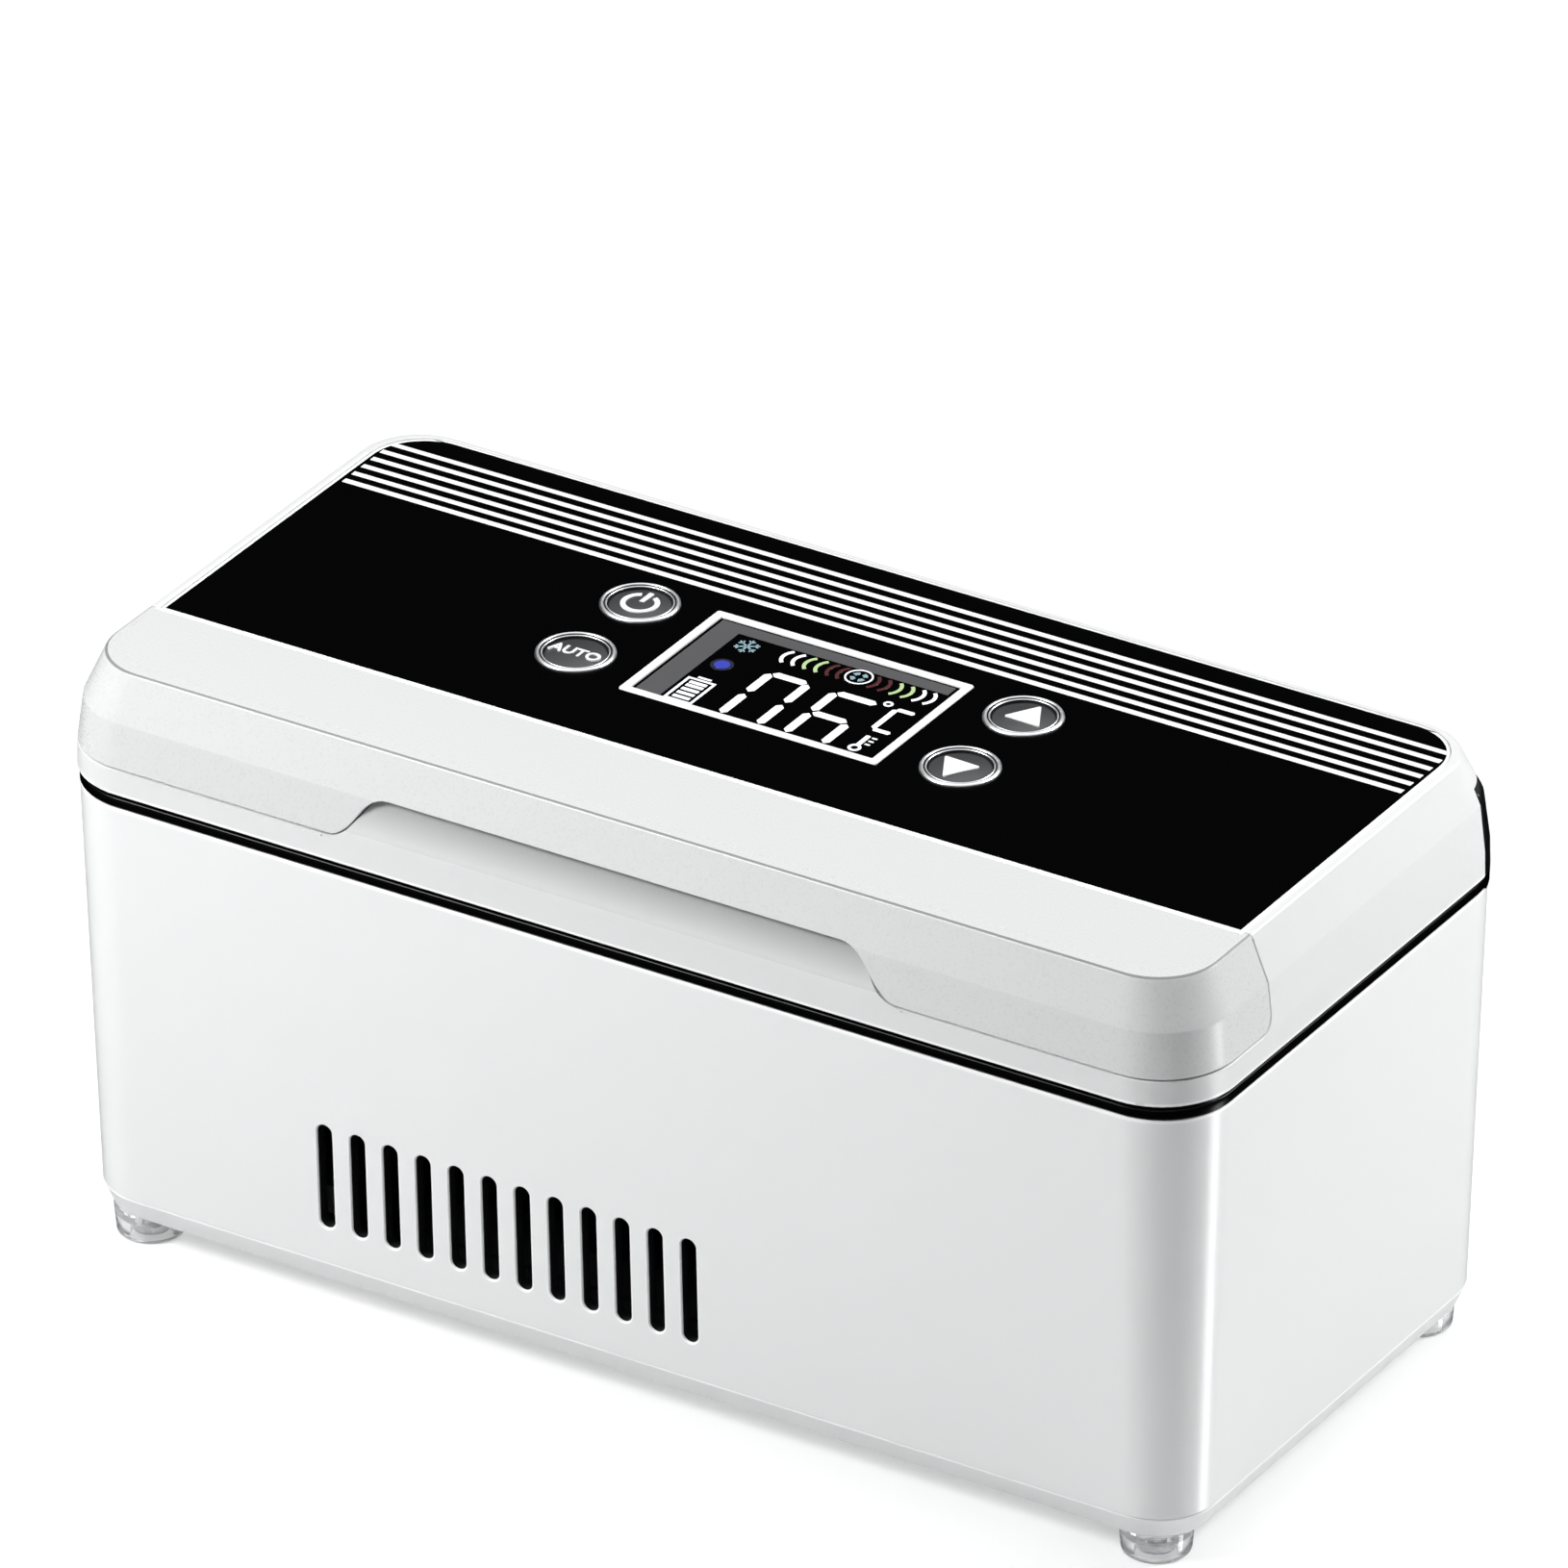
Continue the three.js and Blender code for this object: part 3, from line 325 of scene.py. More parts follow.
def rod(name, radius, start, end, across, a, b, sides=ROUND_SIDES):
    """A straight rod along an axis, at a and b on the two others."""
    piece = turned(name, [(radius, start), (radius, end)], sides=sides)
    if across == "x":
        turn(piece, 90, "Y")
        return shift(piece, 0, a, b)
    if across == "y":
        turn(piece, -90, "X")
        return shift(piece, a, 0, b)
    return shift(piece, a, b, 0)


def shape(piece, *tools, how="DIFFERENCE"):
    """Cuts the tools from the piece, or joins or crosses it with them."""
    for tool in tools:
        change = piece.modifiers.new("shape", "BOOLEAN")
        change.operation, change.solver, change.object = how, "MANIFOLD", tool
        take(piece)
        bpy.ops.object.modifier_apply(modifier=change.name)
        bpy.data.objects.remove(tool)
    return piece


def split(piece, point, normal):
    """Cuts the piece at a plane, and takes away the side that the normal points to."""
    edit(piece)
    bpy.ops.mesh.select_all(action="SELECT")
    bpy.ops.mesh.bisect(plane_co=Vector(point) * MM, plane_no=normal, use_fill=True, clear_outer=True)
    let_go()
    return piece


def slice_at(piece, places, way):
    """Cuts new edges into the piece where planes across way pass, at places in millimetres."""
    edit(piece)
    for place in places:
        bpy.ops.mesh.select_all(action="SELECT")
        bpy.ops.mesh.bisect(plane_co=Vector(way) * place * MM, plane_no=way)
    let_go()
    return piece


def soften(piece, width, near, steps=3):
    """Rounds the sharp edges whose two ends both lie near, a test of a point in millimetres."""
    edit(piece, "EDGE")
    bpy.ops.mesh.select_all(action="DESELECT")
    mesh = bmesh.from_edit_mesh(piece.data)
    found = False
    for edge in mesh.edges:
        if len(edge.link_faces) == 2 and edge.calc_face_angle(0.0) > SHARP_EDGE:
            if all(near(corner.co / MM) for corner in edge.verts):
                edge.select_set(True)
                found = True
    bmesh.update_edit_mesh(piece.data)
    if found:
        bpy.ops.mesh.bevel(offset=width * MM, segments=steps, affect="EDGES", clamp_overlap=False)
    let_go()
    return piece


def polish(piece):
    """Smooth shading that keeps sharp edges and flat faces."""
    take(piece)
    bpy.ops.object.shade_smooth_by_angle(angle=SMOOTH_EDGE)
    even = piece.modifiers.new("even", "WEIGHTED_NORMAL")
    even.keep_sharp = True
    bpy.ops.object.modifier_apply(modifier=even.name)
    return piece


def give(piece, *finishes):
    piece.data.materials.clear()
    for one in finishes:
        piece.data.materials.append(one)
    return piece


def paint(piece, number, where):
    """Gives the finish with that number to the faces whose middle, in millimetres, passes where."""
    for face in piece.data.polygons:
        if where(face.center / MM, face.normal):
            face.material_index = number
    return piece


def fit(piece, body, slot, *nodes):
    """The finished piece is raised to its height, rides on its body and stands for its CAD nodes."""
    shift(piece, 0, 0, DATUM)
    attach(piece, body)
    if nodes:
        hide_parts(*nodes)
    return piece


# Finishes

def set_span(node, start, stop, low, high):
    """Sets a Map Range node to spread start to stop between low and high."""
    for socket, number in zip(("From Min", "From Max", "To Min", "To Max"), (start, stop, low, high)):
        node.inputs[socket].default_value = number


class Finish:
    """A node material on object coordinates, with a few steps that the finishes share."""

    def __init__(self, name, colour, roughness, **shine):
        self.made = bpy.data.materials.new(name)
        self.made.use_nodes = True
        self.nodes, self.links = self.made.node_tree.nodes, self.made.node_tree.links
        self.shader = self.nodes["Principled BSDF"]
        self.shader.inputs["Base Color"].default_value = (*colour, 1)
        self.shader.inputs["Roughness"].default_value = roughness
        self.colour, self.roughness = colour, roughness
        self.place = self.nodes.new("ShaderNodeTexCoord").outputs["Object"]
        self.last_colour = self.last_height = None
        for socket, value in shine.items():
            socket = socket.replace("_", " ").title().replace("Ior", "IOR")
            self.shader.inputs[socket].default_value = value

    def noise(self, size, detail=2.0, stretch=None):
        """Cloudy values whose spots are about size millimetres across."""
        cloud = self.nodes.new("ShaderNodeTexNoise")
        cloud.inputs["Scale"].default_value = 1 / (size * MM)
        cloud.inputs["Detail"].default_value = detail
        where = self.place
        if stretch:
            mapping = self.nodes.new("ShaderNodeMapping")
            mapping.inputs["Scale"].default_value = stretch
            self.links.new(where, mapping.inputs["Vector"])
            where = mapping.outputs["Vector"]
        self.links.new(where, cloud.inputs["Vector"])
        return cloud.outputs["Fac"]

    def cells(self, size):
        pores = self.nodes.new("ShaderNodeTexVoronoi")
        pores.inputs["Scale"].default_value = 1 / (size * MM)
        self.links.new(self.place, pores.inputs["Vector"])
        return pores.outputs["Distance"]

    def span(self, value, low, high, start=0.2, stop=0.8):
        """The value between start and stop, spread between low and high."""
        spread = self.nodes.new("ShaderNodeMapRange")
        set_span(spread, start, stop, low, high)
        self.links.new(value, spread.inputs["Value"])
        return spread.outputs["Result"]

    def tint(self, value, other):
        """Mixes another colour in by the value."""
        mix = self.nodes.new("ShaderNodeMix")
        mix.data_type = "RGBA"
        if self.last_colour:
            self.links.new(self.last_colour, mix.inputs[6])
        else:
            mix.inputs[6].default_value = (*self.colour, 1)
        mix.inputs[7].default_value = (*other, 1)
        self.links.new(value, mix.inputs[0])
        self.last_colour = mix.outputs[2]
        self.links.new(self.last_colour, self.shader.inputs["Base Color"])
        return self

    def mottled(self, size, depth):
        """Soft light and dark patches of the same colour."""
        darker = tuple(part * (1 - depth) for part in self.colour)
        return self.tint(self.span(self.noise(size), 0.0, 1.0), darker)

    def uneven(self, size, spread, stretch=None):
        """Roughness that varies by spread about its value."""
        low, high = self.roughness - spread, self.roughness + spread
        value = self.span(self.noise(size, stretch=stretch), max(low, 0.02), high)
        self.links.new(value, self.shader.inputs["Roughness"])
        return self

    def bumped(self, value, height, strength=1.0):
        """Raises the surface by height millimetres where the value is one."""
        bump = self.nodes.new("ShaderNodeBump")
        bump.inputs["Distance"].default_value = height * MM
        bump.inputs["Strength"].default_value = strength
        self.links.new(value, bump.inputs["Height"])
        if self.last_height:
            self.links.new(self.last_height, bump.inputs["Normal"])
        self.last_height = bump.outputs["Normal"]
        self.links.new(self.last_height, self.shader.inputs["Normal"])
        return self

    def grained(self, size, height, strength=1.0, stretch=None):
        return self.bumped(self.noise(size, stretch=stretch), height, strength)


def gloss_plastic(name, colour, roughness=0.24):
    """Glossy moulded plastic: faint waves from the mould and fine specks of polish."""
    plastic = Finish(name, colour, roughness).mottled(0.3, 0.012).mottled(40, 0.006)
    return plastic.uneven(0.5, 0.02).grained(0.6, 0.0015, 0.6).made


def grained_plastic(name, colour, roughness=0.42, size=0.45, height=0.012):
    """Moulded plastic with a fine eroded grain."""
    plastic = Finish(name, colour, roughness).mottled(0.3, 0.045).mottled(1.5, 0.012)
    return plastic.uneven(0.8, 0.05).grained(size, height).made


def recess_painted_shade(name):
    """Satin white of the finger recess with painted shade: darker than the lid, and darker still towards its
    top under the edge.
    """
    recess_shade = Finish(name, (0.60, 0.603, 0.603), 0.45)
    upright = recess_shade.nodes.new("ShaderNodeSeparateXYZ")
    recess_shade.links.new(recess_shade.place, upright.inputs["Vector"])
    # Painted shade: the colour darkens from 88 to 93.2 mm up, towards the recess's top edge.
    low, high = ((z + DATUM) * MM for z in (88.0, 93.2))
    recess_shade.tint(recess_shade.span(upright.outputs["Z"], 0, 1, low, high), (0.26, 0.262, 0.262))
    recess_shade.tint(recess_shade.span(recess_shade.noise(0.35), 0, 0.2), (0.48, 0.485, 0.485)).uneven(0.8, 0.05).grained(0.3, 0.006)
    return recess_shade.made


def bead_black(name):
    """Deep black satin of the seam's bead, which shows one thin line of light."""
    bead = Finish(name, (0.002, 0.002, 0.0022), 0.24, specular_ior_level=0.14)
    return bead.mottled(0.8, 0.3).uneven(3, 0.04).grained(0.5, 0.001).made


def brushed_metal(name, colour, roughness=0.3, stretch=(0.03, 1.0, 1.0), size=0.25):
    """Metal with fine lines of brushing, and cloudy wear."""
    metal = Finish(name, colour, roughness, metallic=1.0)
    metal.tint(metal.span(metal.noise(size, 3, stretch), 0, 1), tuple(part * 0.86 for part in colour))
    return metal.uneven(size, 0.08, stretch).grained(size, 0.004, 0.7, stretch).made


def polished_chrome(name):
    metal = Finish(name, (0.92, 0.93, 0.94), 0.36, metallic=1.0)
    return metal.mottled(1.2, 0.03).uneven(0.5, 0.04).grained(0.5, 0.0008, 0.5).made


def clear_plastic(name):
    """Clear moulded plastic with a slight haze."""
    plastic = Finish(name, (0.98, 0.985, 0.99), 0.08, transmission_weight=0.85, ior=1.46)
    return plastic.mottled(3, 0.05).uneven(2.5, 0.05).grained(4, 0.05).made


def black_panel(name):
    """Black print under a clear face, with the faintest dust and swirl of wiping."""
    face = Finish(name, (0.0005, 0.0005, 0.0006), 0.16, specular_ior_level=0.006)
    face.tint(face.span(face.noise(1.1, 4), 0, 0.5, 0.62, 0.9), (0.0016, 0.0016, 0.0018))
    return face.uneven(18, 0.05, (0.3, 1, 1)).grained(30, 0.01).made


def printed(name, colour, roughness=0.3):
    """A printed sign or stripe: opaque ink with a fine screen and soft edges of ink."""
    ink = Finish(name, colour, roughness, specular_ior_level=0.3)
    return ink.mottled(0.35, 0.05).mottled(5, 0.03).uneven(0.5, 0.05).grained(0.3, 0.0015).made


def lit(name, colour, strength):
    """A lit segment of the display, a little uneven from the lamp behind it."""
    glow = Finish(name, tuple(part * 0.8 for part in colour), 0.25, emission_color=(*colour, 1))
    glow.mottled(1.6, 0.12).uneven(1.0, 0.05).grained(0.4, 0.001)
    power = glow.span(glow.noise(2.2), strength * 0.85, strength)
    glow.links.new(power, glow.shader.inputs["Emission Strength"])
    return glow.made


def foam_block(name):
    foam = Finish(name, (0.74, 0.77, 0.79), 0.9)
    pores = foam.cells(1.6)
    foam.tint(foam.span(pores, 0, 1, 0.1, 0.55), (0.86, 0.88, 0.89)).mottled(12, 0.08)
    return foam.uneven(1.2, 0.06).bumped(pores, 0.12).made


def circuit_board(name):
    """Green board with lighter copper runs under the lacquer and bright pads."""
    board = Finish(name, (0.010, 0.095, 0.040), 0.34)
    runs = board.nodes.new("ShaderNodeTexBrick")
    runs.inputs["Scale"].default_value = 1 / (5.2 * MM)
    runs.inputs["Mortar Size"].default_value = 0.09
    runs.inputs["Mortar Smooth"].default_value = 0.1
    board.links.new(board.place, runs.inputs["Vector"])
    board.tint(runs.outputs["Fac"], (0.030, 0.21, 0.085))
    board.tint(board.span(board.cells(3.4), 1, 0, 0.09, 0.12), (0.62, 0.55, 0.33))
    return board.mottled(9, 0.1).uneven(1.5, 0.08).bumped(runs.outputs["Fac"], 0.035).made


def wrapped_cell(name):
    """Blue heat-shrink sleeve, with the bare metal cap at the end."""
    wrap = Finish(name, (0.022, 0.125, 0.36), 0.3)
    wrap.mottled(0.9, 0.08).uneven(5, 0.06)
    along = wrap.nodes.new("ShaderNodeSeparateXYZ")
    wrap.links.new(wrap.place, along.inputs["Vector"])
    sleeve_end, cap_start = 90.9 * MM, 91.0 * MM
    cap = wrap.span(along.outputs["X"], 0, 1, sleeve_end, cap_start)
    wrap.tint(cap, (0.62, 0.62, 0.6)).grained(0.8, 0.02, stretch=(1, 0.2, 0.2))
    wrap.links.new(cap, wrap.shader.inputs["Metallic"])
    return wrap.made


def rubber(name):
    soft = Finish(name, (0.018, 0.018, 0.02), 0.62)
    return soft.mottled(0.8, 0.2).mottled(14, 0.15).uneven(1.2, 0.08).grained(0.4, 0.02).made


def ceramic(name):
    plate = Finish(name, (0.78, 0.76, 0.71), 0.5)
    return plate.mottled(0.5, 0.06).mottled(8, 0.04).uneven(1.5, 0.08).grained(0.3, 0.01).made


CASE_WHITE = gloss_plastic("case_white_gloss", (0.80, 0.81, 0.81))
# The front cover's white is a darker copy of the case's gloss white: painted shade that tones down the lamp
# light on its top and slopes.
COVER_SHADED_WHITE = gloss_plastic("cover_white_gloss_shaded", (0.64, 0.645, 0.645), 0.28)
# Brighter white painted as highlight on rims and thin strips.
HIGHLIGHT_WHITE = gloss_plastic("edge_white_painted_highlight", (0.93, 0.935, 0.935), 0.2)
# Grey painted as shade along the crease between the lid's slopes and its top.
CREASE_SHADE = gloss_plastic("crease_painted_shade", (0.26, 0.262, 0.265), 0.4)
LID_WHITE = grained_plastic("lid_white_fine_grain", (0.71, 0.715, 0.715), 0.36, 0.28, 0.010)
# The base's white is lighter than the case's: painted light that makes up for the little light reaching its
# downward chamfer.
BASE_LIT_WHITE = grained_plastic("base_white_grain_lit", (0.88, 0.885, 0.885), 0.45, 0.35, 0.014)
INNER_WHITE = grained_plastic("inner_white_satin", (0.75, 0.76, 0.765), 0.38, 0.7, 0.008)
TRAY_GREY = grained_plastic("tray_grey_satin", (0.42, 0.44, 0.46), 0.45, 0.6, 0.014)
# Black painted as shade: in the vent slots, on the base's inner floor, and in the button rings' groove and
# bore.
SHADE_BLACK = grained_plastic("slot_black_painted_shade", (0.006, 0.006, 0.007), 0.6, 0.5, 0.02)
SEAM_BLACK = bead_black("seam_black_bead")
RISER_BLACK = grained_plastic("riser_black_satin", (0.006, 0.006, 0.007), 0.36, 0.4, 0.006)
DARK_PLASTIC = grained_plastic("dark_plastic_grain", (0.018, 0.019, 0.021), 0.48, 0.6, 0.02)
DISC_DARK = brushed_metal("button_disc_dark", (0.14, 0.142, 0.145), 0.4, (0.05, 1.0, 1.0), 0.2)
PANEL_BLACK = black_panel("panel_black_under_gloss")
STRIPE_WHITE = printed("stripe_white_print", (0.93, 0.935, 0.935), 0.25)
SIGN_WHITE = printed("sign_white_print", (0.84, 0.85, 0.85))
FRAME_WHITE = printed("frame_white_gloss", (0.93, 0.935, 0.935), 0.22)
CHROME = polished_chrome("chrome_polished")
FOOT_CLEAR = clear_plastic("foot_clear_plastic")
TUB_METAL = brushed_metal("tub_aluminium_brushed", (0.74, 0.75, 0.76), 0.3)
PLATE_METAL = brushed_metal("plate_aluminium_milled", (0.68, 0.69, 0.70), 0.34, (1.0, 0.05, 1.0))
SINK_DARK = brushed_metal("sink_dark_anodised", (0.035, 0.036, 0.04), 0.42, (1.0, 0.05, 1.0))
STEEL = brushed_metal("steel_turned", (0.52, 0.53, 0.54), 0.26, (0.2, 0.2, 1.0), 0.3)
FOAM = foam_block("insulation_foam")
SEAL_BLACK = rubber("seal_black_rubber")
CERAMIC = ceramic("ceramic_white")
BOARD = circuit_board("board_green_lacquer")
CELL = wrapped_cell("cell_blue_sleeve")
LCD_DARK = black_panel("display_dark_glass")
# The finger recess's white, with painted shade.
RECESS_PAINTED_SHADE = recess_painted_shade("recess_white_painted_shade")
LCD_GREY = printed("display_grey_mask", (0.08, 0.08, 0.083), 0.35)
LIT_WHITE = lit("lit_white", (0.95, 0.96, 1.0), 0.55)
LIT_ICE = lit("lit_ice_blue", (0.30, 0.46, 0.52), 0.16)
LIT_BLUE = lit("lit_blue", (0.025, 0.04, 0.42), 0.4)
BLUE_GLOW = lit("blue_glow", (0.001, 0.001, 0.02), 0.25)
LIT_LIME = lit("lit_lime", (0.48, 0.66, 0.32), 0.26)
LIT_RED = lit("lit_red", (0.07, 0.004, 0.007), 0.2)


# Lower case: one white wall all round, twelve slots, the inlet's hole and four posts

def vent_slots(y0, y1):
    """Twelve upright rounded slots in a row, as one cutting body along Y."""
    half_x, half_z = SLOT_WIDE / 2, (SLOT_HIGH - SLOT_LOW) / 2
    first = stack("slot", [(half_x, half_z, half_x - 0.01, y) for y in (y0, y1)], steps=8)
    turn(first, -90, "X")
    first.data.transform(Matrix.Diagonal((1, 1, -1, 1)))
    shift(first, COOLER_X - (SLOT_COUNT - 1) / 2 * SLOT_PITCH, 0, (SLOT_LOW + SLOT_HIGH) / 2)
    rest = [copy_of(first, "slot", (SLOT_PITCH * number, 0, 0)) for number in range(1, SLOT_COUNT)]
    return settle(join(first, *rest))


def make_lower_case():
    foot, head, edge, rim = case_inset(BASE_TOP), case_inset(SEAM_LOW), 0.15, SEAM_LOW - 0.6
    top = SEAM_LOW - 0.02
    profile = [(foot + edge, BASE_TOP, 0), (foot, BASE_TOP + edge, 0), (case_inset(rim), rim, 0),
               (head, top, 0.2), (head + WALL, top, 0), (foot + WALL, BASE_TOP, 0)]
    shell = stack("white_lower_case", case_rings(eased(profile)), closed=True)
    post_top = BASE_TOP + POST_HEIGHT
    for x, y in FEET.values():
        post = rod("post", POST_RADIUS, BASE_TOP, post_top, "z", x, y, 32)
        wall_y = math.copysign(HALF_Y - WALL_FOOT - WALL / 2, y)
        rib = slab("rib", x - RIB_HALF, x + RIB_HALF, min(y, wall_y), max(y, wall_y), BASE_TOP, post_top)
        shape(shell, post, rib, how="UNION")
        shape(shell, rod("bore", SCREW_BORE, 0, 30, "z", x, y, 24))
    reach = SLOT_COUNT // 2
    slice_at(shell, [COOLER_X + SLOT_PITCH * number for number in range(-reach, reach + 1)], (1, 0, 0))
    slice_at(shell, (SLOT_LOW - 1.2, SLOT_HIGH + 1.2), (0, 0, 1))
    slot_end = -44
    shape(shell, vent_slots(-55, slot_end))
    shape(shell, rod("inlet", 4.7, 40, 60, "y", INLET_X, INLET_Z))
    wide = reach * SLOT_PITCH

    def by_slots(point):
        return abs(point.x - COOLER_X) < wide and SLOT_LOW - 1 < point.z < SLOT_HIGH + 1

    def wall_face(point):
        return HALF_Y - case_inset(point.z)

    def on_slot_rim(point):
        return by_slots(point) and point.y < -wall_face(point) + 0.06

    def on_inlet_rim(point):
        return math.hypot(point.x - INLET_X, point.z - INLET_Z) < 5 and point.y > wall_face(point) - 0.06

    soften(shell, 0.38, on_slot_rim)
    soften(shell, 0.3, on_inlet_rim)
    give(polish(shell), CASE_WHITE, SHADE_BLACK, HIGHLIGHT_WHITE)

    def in_slot(point, normal):
        return by_slots(point) and 0.3 - wall_face(point) < point.y < slot_end and abs(normal.y) < 0.5

    def on_painted_highlight(point, normal):
        slot_rim = by_slots(point) and point.y < 0.3 - wall_face(point) and 0.2 < -normal.y < 0.985
        return slot_rim or (faces_out(point, normal) and point.z > rim)

    # Painted highlight: the slot rims and the strip under the seam are painted brighter white.
    paint(shell, 2, on_painted_highlight)
    # Painted shade: the slots' inner walls are painted black.
    paint(shell, 1, in_slot)
    return fit(shell, "case", "case_white", "lower_case")


def make_base():
    profile = [(4.6, BASE_BOTTOM, 0), (4.35, BASE_BOTTOM, 0), (4.2, BASE_BOTTOM + 0.15, 0),
               (WALL_FOOT, BASE_TOP - 0.02, 0.3), (3.2, BASE_TOP, 0), (6.6, BASE_TOP, 0),
               (6.6, BASE_FLOOR, 0)]
    plate = stack("white_base", case_rings(eased(profile)))
    for x in (INLET_X - 13, INLET_X + 13):
        for y in (-29, 29):
            shape(plate, rod("board_post", 3, BASE_FLOOR - 1.1, BASE_TOP + 4, "z", x, y, 32), how="UNION")
    for x, y in FEET.values():
        shape(plate, rod("bore", SCREW_BORE, 0, 10, "z", x, y, 32))
    count, pitch, half_wide, half_long = 7, 7.5, 2, 23
    first = stack("grille", [(half_wide, half_long, half_wide - 0.01, z) for z in (0, 12)], steps=8)
    shift(first, COOLER_X - (count - 1) / 2 * pitch, 0, 0)
    rest = [copy_of(first, "grille", (pitch * number, 0, 0)) for number in range(1, count)]
    shape(plate, settle(join(first, *rest)))

    def on_grille_rim(point):
        across = abs(point.x - COOLER_X) < count / 2 * pitch and abs(point.y) < half_long + 1
        return across and point.z < BASE_BOTTOM + 0.02

    soften(plate, 0.3, on_grille_rim)
    give(polish(plate), BASE_LIT_WHITE, SHADE_BLACK)
    # Painted shade: the base's inner floor, seen through the slots, is painted black.
    paint(plate, 1, lambda point, normal: normal.z > 0.9 and point.z < BASE_TOP - 0.5)
    return fit(plate, "case", "lid_white", "base_plate")


def at_each_foot(first, name, slot, node):
    """Copies of a piece, drawn from the floor up, at each foot's place."""
    for place, (x, y) in FEET.items():
        fit(copy_of(first, f"{name}_{place}", (x, y, -DATUM)), "case", slot, f"{node}_{place}")
    bpy.data.objects.remove(first)


def make_feet():
    profile = [(SCREW_BORE, 2.6), (3.2, 2.6), (3.3, 2.5), (3.3, 0.3), (3.4, 0.1), (3.65, 0.0), (4.9, 0.0),
               (5.25, 0.08), (5.5, 0.3), (5.6, 0.6), (5.72, 2.0), (5.95, 4.6), (5.98, 4.95), (5.8, 5.18),
               (SCREW_BORE, 5.18), (SCREW_BORE, 2.6)]
    foot = turned("clear_foot", profile, closed=True)
    at_each_foot(give(polish(foot), FOOT_CLEAR), "clear_foot", "foot_clear", "foot")


def make_base_screws():
    """Pan-head screws with a cross recess, one up through each foot."""
    profile = [(1.9, 0.72), (2.5, 0.8), (2.76, 1.1), (2.8, 1.5), (2.78, 2.25), (1.4, 2.3)]
    pitch, crest, root, start = 0.66, 1.38, 1.12, 3.2
    for number in range(16):
        profile += [(crest, start + pitch * number), (root, start + pitch / 2 + pitch * number)]
    profile += [(0.9, 14.0), (0.4, 14.3)]
    screw = turned("cross_screw", profile, sides=32)
    for half_x, half_y in ((1.5, 0.28), (0.28, 1.5)):
        cross = [(half_x, half_y, 0.15, 0.5), (half_x * 0.8, half_y, 0.15, 1.5)]
        shape(screw, stack("cross", cross, steps=3))
    at_each_foot(give(polish(screw), STEEL), "cross_screw", "steel", "base_screw")


# Black ring between case and lid, with the riser behind the lid and the hinge's barrels

def on_hinge(piece, x):
    """Lays a piece that was drawn upright along the hinge's axis, with its middle at x."""
    return shift(turn(piece, 90, "Y"), x, HINGE_Y, HINGE_Z)


def knuckle(x, half):
    """A barrel on the hinge's axis, with bevelled ends."""
    bevel = 0.3
    profile = [(KNUCKLE - bevel, -half), (KNUCKLE, bevel - half), (KNUCKLE, half - bevel),
               (KNUCKLE - bevel, half)]
    return on_hinge(turned("knuckle", profile, sides=40), x)


def hinge_bore(x, half):
    return rod("bore", PIN_BORE, x - half, x + half, "x", HINGE_Y, HINGE_Z, 32)


def make_seam_ring():
    quarter, top = [math.radians(angle) for angle in range(0, 91, 9)], RING_TOP + 0.1
    bead = [(0.72 - 0.4 * math.cos(a), SEAM_LOW + 0.3 + 1.4 * math.sin(a)) for a in quarter]
    profile = [(0.6, SEAM_LOW), *bead, (0.74, top), (RISER_WALL, top), (RISER_WALL, SEAM_LOW)]
    ring = stack("black_seam_ring", case_rings(profile), closed=True)
    shoulder = 94.6
    outside = [(0.1, SEAM_LOW)] + [(lid_inset(z), z) for z in (LID_BOTTOM, GROOVE, FACET, shoulder)]
    outside += [(1.65, 94.88), (2.0, RISER_TOP)]
    inside = [(2.8, RISER_TOP), (RISER_WALL, shoulder), (RISER_WALL, SEAM_LOW)]
    riser = stack("riser", lid_rings(outside) + case_rings(inside), closed=True)
    split(riser, (0, RISER_START, 0), (0, -1, 0))
    soften(riser, 0.5, lambda point: point.y < RISER_START + 0.01 and abs(point.x) > 102.2)
    shape(ring, riser, how="UNION")
    for x in (-HINGE_X, HINGE_X):
        shape(ring, knuckle(x, 13.3), how="UNION")
        room = KNUCKLE_HALF + 0.3
        shape(ring, slab("pocket", x - room, x + room, 40, 60, HINGE_Z - KNUCKLE - 0.3, SOLID_UP))
        shape(ring, hinge_bore(x, 20))
    give(polish(ring), SEAM_BLACK, RISER_BLACK)
    paint(ring, 1, lambda point, normal: point.z > top + 0.02)
    return fit(ring, "case", "seam_black", "seam_frame")


def make_hinge_pins():
    """Plain pins with domed ends."""
    profile = [(0.3, -12.5), (0.6, -12.35), (0.75, -12.1), (0.75, 12.1), (0.6, 12.35), (0.3, 12.5)]
    for side, x in (("left", -HINGE_X), ("right", HINGE_X)):
        pin = on_hinge(turned(f"steel_pin_{side}", profile, sides=32), x)
        fit(give(polish(pin), STEEL), "case", "steel", f"hinge_pin_{side}")


# Lid: front cover with the wavy lower edge, and the shell with rim, recess and knuckles

def lid_outside(name, low, low_round=0.3):
    profile = [(lid_inset(low) + low_round, low, 0), (lid_inset(low), low + low_round, 0)]
    profile += [(lid_inset(low + 0.6), low + 0.6, 0)]
    profile += [(a, z, r) for (z, a), r in zip(LID_PROFILE[1:], (0, 1.2, 0.8)) if z > low + 0.7]
    profile += [(6.5, LID_TOP, 0)]
    return stack(name, lid_rings(eased(profile)))


def lid_inside(name, wall, low, high):
    profile = [(lid_inset(z), z) for z in [low, *(z for z, _ in LID_PROFILE if low < z < high), high]]
    return stack(name, lid_rings(profile, wall))


